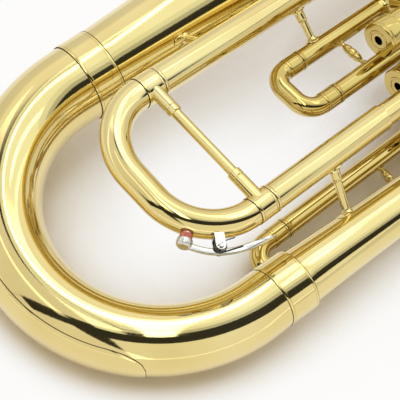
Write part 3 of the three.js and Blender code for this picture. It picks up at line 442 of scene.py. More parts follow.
def aim(start, direction, side=None):
    """A matrix that stands a turned piece at start with its axis along direction."""
    line = Vector(direction).normalized()
    if side is None:
        rotation = V(0, 1, 0).rotation_difference(line).to_matrix().to_4x4()
    else:
        side = (side - line * side.dot(line)).normalized()
        rotation = Matrix((side, line, side.cross(line))).transposed().to_4x4()
    return Matrix.Translation(start) @ rotation


def arc(centre_r, centre_h, radius, start, end, steps):
    """Points of an outline on a small arc, angles in degrees from outwards."""
    angles = [radians(start + (end - start) * k / steps) for k in range(steps + 1)]
    return [(centre_r + radius * cos(t), centre_h + radius * sin(t)) for t in angles]


def band(inner, outer, low, high):
    """The closed outline of a plain ring or pipe."""
    return [(inner, low), (outer, low), (outer, high), (inner, high)]


def mirrored(half, length):
    """An outline up to its middle, and the same in reverse from its other end."""
    return half + [(r, length - h) for r, h in reversed(half)]


def rounded(points, radius=0.25):
    """Rounds the corners of a closed outline, so edges catch the light; points on the axis stay."""
    smallest, widest_share, nearly_straight = 0.02, 0.45, radians(12)
    out = []
    count = len(points)
    for i in range(count):
        a, b, c = (Vector(points[(i + k) % count]) for k in (-1, 0, 1))
        before = b - a
        after = c - b
        size = min(radius, before.length * widest_share, after.length * widest_share)
        if b.x < TINY or size < smallest or before.angle(after) < nearly_straight:
            out.append(tuple(b))
            continue
        p = b - before.normalized() * size
        q = b + after.normalized() * size
        for t in (0, 0.25, 0.5, 0.75, 1):
            out.append(tuple(p * (1 - t) ** 2 + b * 2 * t * (1 - t) + q * t ** 2))
    return out


def ring_sleeve(bore, outside, length, width=1.5):
    """A soldered sleeve, nearly flush: a band and a turned groove at each end."""
    groove = 0.5
    base = max(bore + 0.1, outside - groove)
    low = [(bore, 0), (outside - 0.12, 0), (outside, 0.3), (outside, width), (base, width + groove / 2),
           (base, width + groove), (outside, width + groove * 1.5)]
    return mirrored(low, length)


def leg_tube(size, low, high):
    """The inner tube of a slide whose outer tube has that radius."""
    return rounded(band(size - LEG_DROP - WALL, size - LEG_DROP, low, high), 0.2)


def turned(name, outline, at, sides, body, node, finish=BRASS):
    """A piece of one turned shell."""
    Piece(name).lathe(outline, at, sides).done(body, node, finish=finish)


def joint_lines(name, body, places, sides):
    """Thin rings of dark solder and painted gap shade: for each a radius to lie on, axes and a height."""
    piece = Piece(name)
    for size, matrix, height in places:
        piece.lathe(band(size - 0.15, size + 0.22, height - 0.3, height + 0.3), matrix, sides)
    piece.done(body, finish=SOLDER_AND_SHADE)


# ------ bell
BELL_R, BELL_H, BEAD = 140.0, 490.0, 2.6
LIP_R, LIP_H = BELL_R - 1.6 * BEAD, BELL_H - 1.2 * BEAD
# Top of the sleeve on the joint with the bottom bow, where the flare starts
BELL_FOOT = 23.6


def bell_radius(height):
    """Outside radius of the bell at a height."""
    share = (height - BELL_FOOT) / (LIP_H - BELL_FOOT)
    return BELL_LEG + (LIP_R - BELL_LEG) * (0.19 * share + 0.4 * share ** 4 + 0.41 * share ** 16)


def bell():
    straight = [Vector((BELL_LEG, height)) for height in (12.1, 18, BELL_FOOT)]
    outside = list(straight)
    steps, crowding = 96, 1.35
    for k in range(1, steps + 1):
        height = BELL_FOOT + (LIP_H - BELL_FOOT) * (1 - (1 - k / steps) ** crowding)
        outside.append(Vector((bell_radius(height), height)))
    inside = []
    for i, point in enumerate(outside):
        line = tangent_at(outside, i)
        rise = BELL_WALL * line.x if i >= len(straight) else 0
        inside.append((point.x - BELL_WALL * line.y, point.y + rise))
    bead = arc(BELL_R - BEAD, BELL_H - BEAD, BEAD, -78, 90, 14)
    flat = [(BELL_R - BEAD - 1.6, BELL_H), (BELL_R - BEAD - 2.1, BELL_H - 0.3)]
    turned("bell_shell", outside + bead + flat + inside[::-1], HORN, 144, "horn", "bell")
    sleeve = ring_sleeve(BELL_LEG + 0.05, BELL_LEG + 0.6, BELL_FOOT)
    turned("bell_joint_sleeve", sleeve, HORN, 96, "horn", "bell_ferrule")
    joint_lines("bell_joint_lines", "horn",
                ((BELL_LEG + 0.15, HORN, -0.2), (BELL_LEG + 0.3, HORN, BELL_FOOT + 0.3)), 96)


# ------ bows and branches
# Bottom bow: between the axes of its legs, and its straight runs at the bell and at both ends together
BOW = 232.9
BOW_R = BOW / 2
BOW_FOOT = 11.2
BOW_LEAD, BOW_STRAIGHTS = 22.7, 34.7
# Outer branch: from the bottom bow to the top bow
FOOT = V(BOW, 0, 0)
BRANCH_TOP = V(235, 366, -28)
BRANCH = (BRANCH_TOP - FOOT).normalized()
BRANCH_LENGTH = (BRANCH_TOP - FOOT).length
BRANCH_SLEEVE = 24.4
TOP_BOW_SPAN = 151


def branch_radius(share):
    """Outside radius of the outer branch at a share of its length."""
    return BRANCH_LEG - (BRANCH_LEG - TOP_BOW) * max(share, 0) ** 0.4


def bows():
    low = -BOW_FOOT - BOW_R
    stations = path([V(0, 11.5, 0), V(0, low, 0), V(BOW, low, 0), FOOT, FOOT + BRANCH * 11.9],
                    [BOW_R, BOW_R, 10.0], 2.5)
    Piece("bow_tube").tube(stations, taper(BELL_LEG, BRANCH_LEG), BELL_WALL, HORN, 96).done(
        "horn", "bottom_bow")
    at = HORN @ aim(FOOT, BRANCH)
    sleeve = ring_sleeve(BRANCH_LEG + 0.1, BRANCH_LEG + 0.6, BRANCH_SLEEVE)
    turned("branch_joint_sleeve", sleeve, at, 80, "horn", "branch_ferrule")
    joint_lines("branch_joint_lines", "horn",
                ((BRANCH_LEG + 0.2, at, -0.2), (BRANCH_LEG - 0.2, at, BRANCH_SLEEVE + 0.3)), 80)
    stations = path([FOOT + BRANCH * 12.5, BRANCH_TOP - BRANCH * JOINT], 0, run=9)
    Piece("branch_tube").tube(stations, branch_radius, WALL, HORN, 80).done("horn", "outer_branch")

    start = BRANCH_TOP + BRANCH * JOINT
    radius = TOP_BOW_SPAN / 2 - 1.5
    rise = BRANCH * (radius + 11.5)
    across = V(-TOP_BOW_SPAN, 0, 0)
    stations = path([start, start + rise, start + rise + across, start + across], radius, 3)
    Piece("top_bow_tube").tube(stations, taper(TOP_BOW, INNER_BRANCH), WALL, HORN, 72).done("horn", "top_bow")
    joint = start + across - BRANCH * JOINT
    length = 20
    for side, size, point in (("outer", TOP_BOW, BRANCH_TOP), ("inner", INNER_BRANCH, joint)):
        at = HORN @ aim(point - BRANCH * length / 2, BRANCH)
        turned("top_bow_sleeve_" + side, ring_sleeve(size + 0.05, size + 0.5, length), at, 72, "horn",
               "top_bow_%s_ferrule" % side)
    start = joint - BRANCH * JOINT
    stations = path([start, start - BRANCH * 60, LEAN @ left_leg(200.6), LEAN @ left_leg(172.6)], 90.0, 3)
    Piece("inner_branch_tube").tube(stations, taper(INNER_BRANCH, MAIN_LEFT), WALL, HORN, 64).done(
        "horn", "inner_branch")


def guard():
    """Guard plate on the outside of the bottom bow: a bent sheet with rounded ends."""
    # Angles round the bow from the bell leg, how far its ends are rounded, and half its angle round the tube
    start, end, round_off, half = (radians(angle) for angle in (38, 138, 12, 46))
    rows, columns = 96, 28
    top, under, softening = 0.95, 0.15, 0.25
    outer = []
    inner = []
    for i in range(rows + 1):
        t = start + (end - start) * i / rows
        into = min(t - start, end - t) / round_off
        edge = 1.0 if into >= 1 else 0.3 + 0.7 * sqrt(max(0, 1 - (1 - into) ** 2))
        out = V(-cos(t), -sin(t), 0)
        middle = V(BOW_R, -BOW_FOOT, 0) + out * BOW_R
        share = (t * BOW_R + BOW_LEAD) / (pi * BOW_R + BOW_STRAIGHTS)
        size = BELL_LEG - (BELL_LEG - BRANCH_LEG) * share
        for rings, lift in ((outer, top), (inner, under)):
            ring = []
            for k in range(columns + 1):
                angle = half * edge * (2 * k / columns - 1)
                margin = min(k, columns - k, i * 0.7, (rows - i) * 0.7)
                soft = softening * max(0, 1 - margin) if lift == top else 0
                spoke = out * cos(angle) + V(0, 0, sin(angle))
                ring.append(HORN @ (middle + spoke * (size + lift - soft)))
            rings.append(ring)
    piece = Piece("bow_guard_plate")
    width = columns + 1
    piece.points = [p for ring in outer + inner for p in ring]
    shift = (rows + 1) * width
    for i in range(rows):
        for k in range(columns):
            a = i * width + k
            piece.faces.append((a, a + 1, a + width + 1, a + width))
            piece.faces.append((shift + a, shift + a + width, shift + a + width + 1, shift + a + 1))
        for a in (i * width, i * width + columns):
            piece.faces.append((a, a + width, shift + a + width, shift + a))
    for k in range(columns):
        for a in (k, rows * width + k):
            piece.faces.append((a, a + 1, shift + a + 1, shift + a))
    piece.done("horn", "bow_guard")
    # The solder that shows round its edge, dark as painted shade of the crease there
    edge = ([ring[0] for ring in inner] + inner[-1][1:] + [ring[-1] for ring in inner[-2::-1]]
            + inner[0][-2::-1])
    Piece("bow_guard_solder_and_shade_line").tube(wire_path(edge), even(0.42), 0, Matrix.Identity(4), 8).done(
        "horn", finish=SOLDER_AND_SHADE)


# ------ main tuning slide
# In the axes of MAIN, whose origin is on the left leg and whose X points at the right one. The crook is
# two bends round y = CROOK_FOOT with a straight run between them
SPAN = 123.8
CROOK_BEND, CROOK_FOOT = 50.0, 4.0
MAIN_LEGS = (("left", 0, MAIN_LEFT, 172), ("right", SPAN, MAIN_RIGHT, 140))
# The cross brace: height, distance in front of the legs' plane, and radius of its sockets
BRACE_UP, BRACE_OUT, BRACE_R = 12, 5, 5.5


def brace_seat(x, size, way):
    """The end of a brace socket, fitted to the round side of a leg: its middle and its edge."""
    edge = []
    for s, c in circle(48):
        z = BRACE_OUT + BRACE_R * s
        edge.append(MAIN @ V(x + way * sqrt(size ** 2 - z ** 2), BRACE_UP + BRACE_R * c, z))
    return [[MAIN @ V(x + way * (size - 1.2), BRACE_UP, BRACE_OUT)], edge]


def main_slide():
    top, low = 11.4, CROOK_FOOT - CROOK_BEND
    crook = path([V(0, top, 0), V(0, low, 0), V(SPAN, low, 0), V(SPAN, top, 0)], CROOK_BEND, 3)
    piece = Piece("main_slide_crook").tube(crook, taper(MAIN_LEFT, MAIN_RIGHT), WALL, MAIN, 72)
    lines = []
    for _, x, size, _ in MAIN_LEGS:
        at = MAIN @ Matrix.Translation((x, CROOK_FOOT, 0))
        piece.lathe(ring_sleeve(size + 0.05, size + 0.5, 16), at, 64)
        lines.append((size + 0.1, at, -0.3))
    piece.done("main_slide", "main_crook")
    joint_lines("main_slide_joint_lines", "main_slide", lines, 72)
    for side, x, size, end in MAIN_LEGS:
        at = MAIN @ Matrix.Translation((x, 0, 0))
        bore, foot = size - WALL, 20.6
        outline = [(bore, foot), (size + 0.45, foot), (size + 0.6, foot + 0.8), (size + 0.45, foot + 1.8),
                   (size, foot + 2.4), (size, end), (bore, end)]
        turned("main_receiver_tube_" + side, rounded(outline, 0.2), at, 64, "horn",
               "main_slide_receiver_" + side)
        turned("main_inner_leg_" + side, leg_tube(size, 12, 118), at, 64, "main_slide",
               "main_slide_leg_" + side, NICKEL)
    half = [(BRACE_R, 24.4), (5.2, 24.9), (5.2, 25.4), (BRACE_R, 25.9), (BRACE_R, 30.2), (5.1, 30.8),
            (4.1, 31.2), (4.0, 34)]
    rings = []
    for radius, x in mirrored(half, SPAN):
        rings.append([MAIN @ V(x, BRACE_UP + radius * c, BRACE_OUT + radius * s) for s, c in circle(48)])
    brace = Piece("main_slide_cross_brace")
    brace.rings(brace_seat(0, MAIN_LEFT + 0.2, 1) + rings + brace_seat(SPAN, MAIN_RIGHT + 0.2, -1)[::-1])
    brace.done("main_slide", "main_slide_brace")


# ------ water key
# Places on the crook's right bend, by degrees from its leg. CROOK_R is the crook's own radius there, and
# the pin stands PIN above its outside
CENTRE = V(SPAN - CROOK_BEND, CROOK_FOOT, 0)
CROOK_R = 10.95
NIPPLE_ANGLE, SADDLE_ANGLE = 55, 34
PIN = 8


def outward(angle):
    t = radians(angle)
    return V(cos(t), -sin(t), 0)


def on_crook(angle, height):
    """A point that far above the crook's outside."""
    return CENTRE + outward(angle) * (CROOK_BEND + CROOK_R + height)


def slab(piece, outline, low, high, matrix, soft=0.2):
    """A plate from a star-shaped outline in X and Y, with softened edges."""
    middle = sum((Vector(p) for p in outline), Vector((0, 0))) / len(outline)

    def ring(inset, z):
        points = []
        for p in outline:
            out = Vector(p) - middle
            flat = middle + out * max(0, 1 - inset / out.length)
            points.append(matrix @ V(flat.x, flat.y, z))
        return points

    piece.rings([[matrix @ V(middle.x, middle.y, low)], ring(soft, low), ring(0, low + soft),
                 ring(0, high - soft), ring(soft, high), [matrix @ V(middle.x, middle.y, high)]])


def round_end(radius, angles, base=0.0):
    """The round end of a plate's outline, with its middle at height base."""
    return [(radius * cos(radians(t)), base + radius * sin(radians(t))) for t in angles]


def lever_arm(lever):
    """The bent strip from the cork's cup past the pin, which widens into a spoon, thins and ends round."""
    places = ((NIPPLE_ANGLE, 8.0), (49, 9.2), (42, 10.4), (SADDLE_ANGLE, 11.0), (26, 11.0), (19, 10.8),
              (13, 11.0), (8, 11.6), (4, 12.4), (1, 13.4))
    line = smooth([on_crook(angle, height) for angle, height in places], 8)
    rings = []
    for i, point in enumerate(line):
        normal = tangent_at(line, i).cross(V(0, 0, 1))
        share = i / (len(line) - 1)
        tip = sqrt(max(0.02, 1 - max(0, (share - 0.86) / 0.14) ** 2))
        half = (1.3 + 3.0 * max(0, min(1, (share - 0.55) / 0.25)) ** 1.5) * tip
        thick = (2.5 - 1.2 * max(0, min(1, (share - 0.6) / 0.3))) * tip
        ring = []
        for n, c in circle(20):
            ring.append(MAIN @ (point + V(0, 0, 1) * half * copysign(abs(c) ** 0.45, c)
                                + normal * thick * copysign(abs(n) ** 0.7, n)))
        rings.append(ring)
    lever.rings([[MAIN @ line[0]]] + rings + [[MAIN @ line[-1]]])


def water_key():
    seat = MAIN @ aim(on_crook(NIPPLE_ANGLE, 0), outward(NIPPLE_ANGLE))
    nipple = [(2.4, -0.8), (3.9, -0.8), (3.7, 0.5), (3.5, 1.2), (3.5, 4.6), (2.4, 4.6)]
    turned("water_key_nipple_turned", rounded(nipple, 0.3), seat, 40, "main_slide", "water_key_nipple",
           NICKEL)
    pad = [(0, 4.7), (3.6, 4.7), (3.6, 0.3), (4.4, 0.1), (4.7, 1.2), (4.6, 6.6), (0, 6.6)]
    turned("water_key_cork_pad", rounded(pad, 0.4), seat, 40, "water_key", "water_key_cork", CORK)

    # Saddle: two ears with round ends on a small foot; X runs along the crook, Y outward
    out = outward(SADDLE_ANGLE)
    along = V(out.y, -out.x, 0)
    ground = MAIN @ Matrix.Translation(on_crook(SADDLE_ANGLE, 0))
    saddle_at = ground @ Matrix((along, out, V(0, 0, -1))).transposed().to_4x4()
    pin_at = saddle_at @ Matrix.Translation((0, PIN, 0))
    saddle = Piece("water_key_saddle_plate")
    ear = [(-3.6, -1.9), (-3.6, 1), (-3.6, 4), (-3.6, 7)] + round_end(3.6, range(180, -1, -15), PIN)
    ear += [(3.6, 7), (3.6, 4), (3.6, 1), (3.6, -1.9), (0, -1.9)]
    for low, high in ((-5.8, -4.5), (4.5, 5.8)):
        slab(saddle, ear, low, high, saddle_at)
    foot = [(-3.6, -0.5), (0, -0.5), (3.6, -0.5), (3.6, 0.9), (0, 0.9), (-3.6, 0.9)]
    slab(saddle, foot, -4.7, 4.7, saddle_at)
    saddle.done("main_slide", "water_key_saddle", finish=NICKEL)

    # Screw: its shank through the ears, and a head of two half discs with the slot between them
    pin = Piece("water_key_pivot_screw")
    shank = [(0, 6.5), (1.2, 6.5), (1.2, -5.9), (2.3, -5.9), (2.3, -6.3), (0, -6.3)]
    pin.lathe(rounded(shank, 0.15), pin_at @ turn(-90, 0, 0), 32)
    for face in (1, -1):
        cheek = [(x, face * y) for x, y in round_end(2.3, range(10, 171, 16))]
        slab(pin, cheek, -7.3, -6.2, pin_at @ turn(0, 0, 35), 0.15)
    pin.done("main_slide", "water_key_pin", finish=NICKEL)

    # Lever: the cork's cup, the arm and the hub on the pin
    lever = Piece("water_key_lever_arm")
    cup = [(0, 6.7), (4.7, 6.7), (4.8, 4.9), (5.7, 4.7), (5.9, 6.8), (5.5, 9.6), (4.2, 10.6), (0, 10.8)]
    lever.lathe(rounded(cup, 0.4), seat, 48)
    lever_arm(lever)
    hub = [(-2.4, 6.4), (-2.8, 8), (-2.2, 11.6), (0, 11.8), (2.2, 11.6), (2.8, 8), (2.4, 6.4), (0, 5.4)]
    slab(lever, hub, -0.6, 3.6, saddle_at, 0.3)
    lever.done("water_key", "water_key_lever", finish=NICKEL)

    # Spring: curls round the pin between ear and hub, one leg along the lever, one on the crook
    radius, steps, first_angle, last_angle = 4.2, 96, -846, 98
    wound = []
    for k in range(steps + 1):
        share = k / steps
        t = radians(first_angle + (last_angle - first_angle) * share)
        wound.append(V(radius * cos(t), PIN + radius * sin(t), -4.05 + 2.15 * share))
    wire = [wound[0] + V(-8.5, -2.4, 0)] + wound + [wound[-1] + V(-16, -4.4, 0)]
    Piece("water_key_spring_wire").tube(wire_path(wire), even(0.42), 0, saddle_at, 12).done(
        "water_key", "water_key_spring", finish=SPRING)


# ------ valves and their slides
# In the axes of BLOCK. The valves stand in a row, and the second slide leaves square to it
ROW = radians(40.4)
ROW_LINE = V(cos(ROW), 0, -sin(ROW))
BACK = V(-sin(ROW), 0, -cos(ROW))
DOWN = V(0, -1, 0)
VALVE_PITCH = 41
# Casing, and where in its wall a tube ends
CASING_R, CASING_LOW, CASING_TOP, IN_WALL = 13.5, 193, 330, 13.2
# Heights of the tubes on the casings: the way through all three, and each slide's two
THROUGH = 292
FIRST_PORTS, SECOND_PORTS, THIRD_PORTS = (246, 266), (272, 246), (246, 266)
OUTLET_PORT = 266
SECOND_REACH = 40
# Ends of the first and third slides' outer tubes
FIRST_ENDS = (V(100.2, 141.1, 23.2), V(141.5, 141.1, 24.2))
THIRD_ENDS = (V(189, 50.6, -25), V(224, 50.6, -33))
# Gap in a valve slide's joints
GAP = 0.6


def valve_axis(index, height=0.0):
    return V(136.2, height, 51.9) + ROW_LINE * VALVE_PITCH * index


def knuckle(piece, start, end):
    """A short brazed tube between two points of the block."""
    line = end - start
    piece.lathe(rounded(band(SLIDE - WALL, SLIDE, 0, line.length), 0.2), BLOCK @ aim(start, line), 48)


def valve_spring(n, axis):
    """A compression spring that stands on the bottom cap under the piston."""
    low, high, turns, steps, radius, closed_rise = 189.6, 217.0, 6, 32, 8.6, 1.4
    coil = []
    for k in range(turns * steps + 1):
        turn_now = k / steps
        # The first and last turn are closed; those between them share the rise
        share = min(max((turn_now - 1) / (turns - 2), 0), 1)
        ends = closed_rise * (min(turn_now, 1) + max(turn_now - (turns - 1), 0))
        height = low + ends + (high - low - 2 * closed_rise) * share
        angle = 2 * pi * turn_now
        coil.append(axis + V(radius * cos(angle), height, radius * sin(angle)))
    spring = Piece("valve_spring_coil_%d" % n)
    spring = spring.tube(wire_path(coil), even(0.6), 0, BLOCK, 12, side=(0, 1, 0)).done(
        "horn", "valve_spring_%d" % n, finish=SPRING)
    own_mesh(spring)


def valve_casing(index, axis, at, n):
    casing = Piece("valve_casing_tube_%d" % n)
    casing.lathe(rounded(band(CASING_R - WALL, CASING_R, CASING_LOW, CASING_TOP), 0.2), at, 64)
    if index < 2:
        start = axis + V(0, THROUGH, 0)
        knuckle(casing, start + ROW_LINE * 13, start + ROW_LINE * 27.4)
    if index == 1:
        for height in SECOND_PORTS:
            start = axis + V(0, height, 0)
            knuckle(casing, start + BACK * 13, start + BACK * SECOND_REACH)
            open_ring(casing, start + BACK * SECOND_REACH, BACK, SLIDE + 0.4, 2.6, 0.4)
    casing.done("horn", "valve_casing_%d" % n, finish=SHADED_BRASS)


def valves():
    """Three valves; outlines are pairs of radius and height in the block."""
    bottom_cap = [(3.9, 188.6), (3.9, 187), (6.8, 187), (7.3, 186.6), (8.6, 186.6), (9.1, 187), (14.5, 187),
                  (15.3, 187.9), (15.3, 189.8), (14.9, 190.1), (14.9, 190.6), (15.3, 190.9), (15.3, 201.8),
                  (14.9, 202.2), (14.9, 202.7), (15.3, 203), (15.3, 204), (13.9, 204), (13.9, 188.6)]
    top_cap = [(4, 330.3), (13.9, 330.3), (13.9, 322), (15.3, 322), (15.3, 323.2), (14.9, 323.6),
               (14.9, 324.1), (15.3, 324.5), (15.3, 331.6), (14.4, 333), (4, 333)]
    piston = [(11.3, 218), (12.3, 218), (12.3, 322), (2.8, 322), (2.8, 352.7), (2.2, 352.7), (2.2, 321),
              (11.3, 321)]
    button = [(0, 353), (4.2, 353), (5.0, 353.4), (8.7, 353.8), (9.5, 354.8), (9.5, 356.8), (8.9, 358),
              (7.7, 358), (7.6, 356.6), (0, 356.6)]
    pearl = [(0, 356.9), (7.3, 356.9), (7.3, 358.1), (6.6, 358.45), (4, 358.6), (0, 358.6)]
    for index in range(3):
        n = index + 1
        axis = valve_axis(index)
        at = BLOCK @ Matrix.Translation(axis)
        valve_casing(index, axis, at, n)
        moving = "valve_%d" % n
        for name, node, outline, sides, body, finish in (
                ("bottom_cap", "valve_bottom_cap", rounded(bottom_cap, 0.3), 72, "horn", SHADED_BRASS),
                ("top_cap", "valve_top_cap", rounded(top_cap, 0.3), 72, "horn", SHADED_BRASS),
                ("piston", "valve_piston", piston, 64, moving, MONEL),
                ("felt_washer", "valve_felt", rounded(band(4, 7.5, 333.3, 335.7), 0.5), 48, "horn", FELT),
                ("button", "finger_button", rounded(button, 0.25), 64, moving, SHADED_BRASS),
                ("pearl_disc", "button_pearl", rounded(pearl, 0.15), 48, moving, PEARL)):
            turned("%s_%d" % (name, n), outline, at, sides, body, "%s_%d" % (node, n), finish)
        valve_spring(n, axis)


def casing_tube(piece, foot, index, height, size, corner, side):
    """A tube that rises from an open slide end and bends into a casing, with a fillet of solder there."""
    axis = valve_axis(index, height)
    top = V(foot.x, height, foot.z)
    line = (top - axis).normalized()
    piece.tube(path([foot, top, axis + line * IN_WALL], corner, 5), even(size), WALL, BLOCK, 48, side)
    fillet = [(size - 0.5, 0), (size + 1.5, 0), (size + 0.7, 0.7), (size + 0.25, 1.6), (size, 2.6),
              (size - 0.5, 2.6)]
    piece.lathe(fillet, BLOCK @ aim(axis + line * 13.1, line), 48)


def slide_body(name, node, body, ends, out, drop, corner, sleeve, leg):
    """A valve slide that is drawn along out: its bow with two sleeves, and its nickel legs."""
    side = bend_side(ends, out)
    joint = GAP + sleeve / 2 + GAP
    start, bend = out * joint, out * (GAP + sleeve + drop + corner)
    stations = path([ends[0] + start, ends[0] + bend, ends[1] + bend, ends[1] + start], corner, 5)
    piece = Piece(name).tube(stations, even(SLIDE), WALL, BLOCK, 56, side)
    outline = ring_sleeve(SLIDE + 0.02, SLIDE + 0.45, sleeve)
    for end in ends:
        piece.lathe(outline, BLOCK @ aim(end + out * GAP, out, side), 56)
    piece.done(body, node, finish=SHADED_BRASS)
    legs = Piece(name + "_legs")
    for end in ends:
        legs.lathe(leg_tube(SLIDE, -leg, joint), BLOCK @ aim(end, out, side), 48)
    legs.done(body, finish=NICKEL)


def bend_side(ends, out):
    """The direction square to the plane of a slide's bow."""
    return (ends[1] - ends[0]).normalized().cross(out).normalized()


def open_ring(piece, end, out, outside=SLIDE + 0.5, length=2.8, width=0.5):
    """The ring round a slide tube's open end."""
    piece.lathe(ring_sleeve(SLIDE + 0.02, outside, length, width), BLOCK @ aim(end - out * 2.8, out), 48)


def spindle(piece, ends, height):
    """The turned brace between a slide's two outer tubes."""
    line = ends[1] - ends[0]
    # Its turned outline, in radius and distance from the tube, for half a free length of 12.65
    turned = ((3.0, 0.6), (2.0, 1.4), (1.8, 3), (2.6, 4.2), (3.4, 6.4), (3.8, 9), (3.2, 9.6), (3.2, 10.2),
              (3.9, 10.8))
    stretch = (line.length / 2 - SLIDE) / 12.65
    half = [(0, 7.6), (3.4, 7.6)] + [(radius, SLIDE + place * stretch) for radius, place in turned]
    start = V(ends[0].x, height, ends[0].z)
    piece.lathe(rounded(mirrored(half, line.length), 0.3), BLOCK @ aim(start, line), 32)


def valve_slides():
    tubes = Piece("first_slide_outer_tubes")
    for end, height in zip(FIRST_ENDS, FIRST_PORTS):
        casing_tube(tubes, end, 0, height, SLIDE, 13.0, bend_side(FIRST_ENDS, DOWN))
        open_ring(tubes, end, DOWN)
    spindle(tubes, FIRST_ENDS, 183)
    tubes.done("horn", "first_slide_tubes", finish=SHADED_BRASS)
    slide_body("first_slide_bow", "first_slide", "first_valve_slide", FIRST_ENDS, DOWN, 0.6, 14.0, 14, 64)

    for name, end, height in zip(("left", "right"), THIRD_ENDS, THIRD_PORTS):
        tube = Piece("third_slide_outer_tube_" + name)
        casing_tube(tube, end, 2, height, SLIDE, 13.0, bend_side(THIRD_ENDS, DOWN))
        open_ring(tube, end, DOWN)
        if name == "left":
            spindle(tube, THIRD_ENDS, 155)
        tube.done("horn", "third_slide_tube_" + name, finish=SHADED_BRASS)
    slide_body("third_slide_bow", "third_slide", "third_valve_slide", THIRD_ENDS, DOWN, 5.0, 14.0, 14, 120)

    ends = [valve_axis(1, height) + BACK * SECOND_REACH for height in SECOND_PORTS]
    slide_body("second_slide_bow", "second_slide", "second_valve_slide", ends, BACK, 0.6, 12.0, 8, 17)

    outlet = Piece("outlet_tube_bent")
    foot = LEAN.inverted() @ HORN.inverted() @ (MAIN @ V(SPAN, 140.6, 0))
    casing_tube(outlet, foot, 2, OUTLET_PORT, OUTLET, 16.0, V(0, 0, 1))
    outlet.done("horn", "outlet_tube")


# ------ leadpipe and mouthpiece
# Where the leadpipe bends towards the player, its end, and the direction between them
LEAD_BEND = V(28, 326, 92)
LEAD_END = V(-14, 398, 124)
LEAD = (LEAD_END - LEAD_BEND).normalized()


def leadpipe():
    start, reach = (LEAN @ (valve_axis(0, THROUGH) - ROW_LINE * away) for away in (IN_WALL, 38))
    stations = path([start, reach, LEAD_BEND, LEAD_END], 26.0, 4)
    Piece("leadpipe_tube").tube(stations, taper(7.4, 6.6), WALL, HORN, 48).done("horn", "leadpipe")
    receiver = [(7.0, 0), (8.4, 0), (8.8, 0.8), (8.4, 1.8), (8.2, 2.6), (8.2, 29.6), (8.7, 30.4), (9.0, 31),
                (9.9, 31.8), (9.9, 34), (6.0, 34), (5.4, 8.6), (7.0, 8.6)]
    at = HORN @ aim(LEAD_END - LEAD * 8, LEAD)
    turned("mouthpiece_receiver_sleeve", rounded(receiver, 0.3), at, 56, "horn", "mouthpiece_receiver",
           NICKEL)
    # Shank, cup and rim from outside, then the rim's inner edge, cup, throat and backbore
    shape = [(4.9, 0), (5.6, 26), (5.9, 40), (6.2, 46), (7.4, 50), (7.6, 51.2), (7.2, 52.4), (8.2, 55),
             (11.0, 58.5), (14.0, 63), (15.6, 68), (16.2, 73), (16.3, 78), (17.4, 80.6), (19.0, 82.2),
             (19.4, 83.6), (19.0, 85.2), (17.6, 86), (14.4, 86), (13.2, 85.2), (12.8, 84), (12.4, 76),
             (10.6, 67), (7.2, 60), (3.9, 56.5), (3.3, 55), (3.6, 45), (4.1, 0)]
    at = HORN @ aim(LEAD_END + LEAD * 1.2, LEAD)
    turned("mouthpiece_turned", rounded(shape, 0.5), at, 80, "mouthpiece_body", "mouthpiece", SILVER)


# ------ struts
def foot_plate(piece, point, line, axis, size):
    """An oval plate soldered on a tube of that radius, whose axis passes through point."""
    out = (line - axis * line.dot(axis)).normalized()
    across = axis.cross(out)
    half_length, half_width = 6.6, 4.6
    rings = [[HORN @ (point + out * (size - 0.3))]]
    for share, lift in ((1.0, -0.1), (1.0, 0.5), (0.94, 0.8), (0.5, 1.0)):
        ring = []
        for s, c in circle(32):
            angle = share * half_width * s / size
            spoke = out * cos(angle) + across * sin(angle)
            ring.append(HORN @ (point + axis * share * half_length * c + spoke * (size + lift)))
        rings.append(ring)
    piece.rings(rings + [[HORN @ (point + out * (size + 1.0))]])


def strut(name, node, start, end, rod, socket):
    """A turned strut on two foot plates; each end is a point on a tube's axis, its direction and radius.

    socket is the length of the thicker part at the start, or 0 where both ends are alike.
    """
    line = end[0] - start[0]
    piece = Piece(name)
    foot_plate(piece, start[0], line, start[1], start[2])
    foot_plate(piece, end[0], -line, end[1], end[2])
    a, b = start[2] + 0.4, line.length - end[2] - 0.4
    outline = [(0, a), (rod + 1.4, a), (rod + 1.2, a + 1), (rod + 0.3, a + 2), (rod, a + 3)]
    outline += [(r, a + b - h) for r, h in reversed(outline)]
    if socket:
        top = a + socket
        thick, groove = rod + 0.9, rod + 0.5
        outline[3:5] = [(thick, a + 2), (thick, top - 2), (groove, top - 1.7), (groove, top - 1.3),
                        (thick, top - 1), (thick, top), (rod, top + 0.5)]
    piece.lathe(rounded(outline, 0.3), HORN @ aim(start[0], line), 32).done("horn", node)


def struts():
    lean = LEAN.to_3x3() @ V(0, 1, 0)
    height = 162.5
    first = LEAN @ V(FIRST_ENDS[0].x, height, FIRST_ENDS[0].z)
    strut("slide_strut", "slide_brace", (LEAN @ left_leg(height), lean, MAIN_LEFT), (first, lean, SLIDE),
          3.0, 9.0)
    height = 83
    right = HORN.inverted() @ (MAIN @ V(SPAN, height, 0))
    along = height / BRANCH.y
    strut("branch_strut", "branch_brace", (right, lean, MAIN_RIGHT),
          (FOOT + BRANCH * along, BRANCH, branch_radius(along / BRANCH_LENGTH)), 3.2, 9.0)
    height = 80
    strut("bell_strut", "bell_brace", (V(0, height, 0), V(0, 1, 0), bell_radius(height)),
          (LEAN @ left_leg(height), lean, MAIN_LEFT), 3.2, 0)


bell()
bows()
guard()
main_slide()
water_key()
valves()
valve_slides()
leadpipe()
struts()


# ------ table, light and camera
# Where the photograph was taken from: the camera's place, and its right, up and backward directions
EYE = HORN @ V(451.2755, -274.1845, 817.378)
RIGHT = HORN.to_3x3() @ V(0.631038, 0.775226, 0.028558)
UP = HORN.to_3x3() @ V(-0.69769, 0.55106, 0.457778)
TOWARD = HORN.to_3x3() @ V(0.339145, -0.3088, 0.888608)
VIEW = Matrix((RIGHT, UP, TOWARD)).transposed().to_4x4()

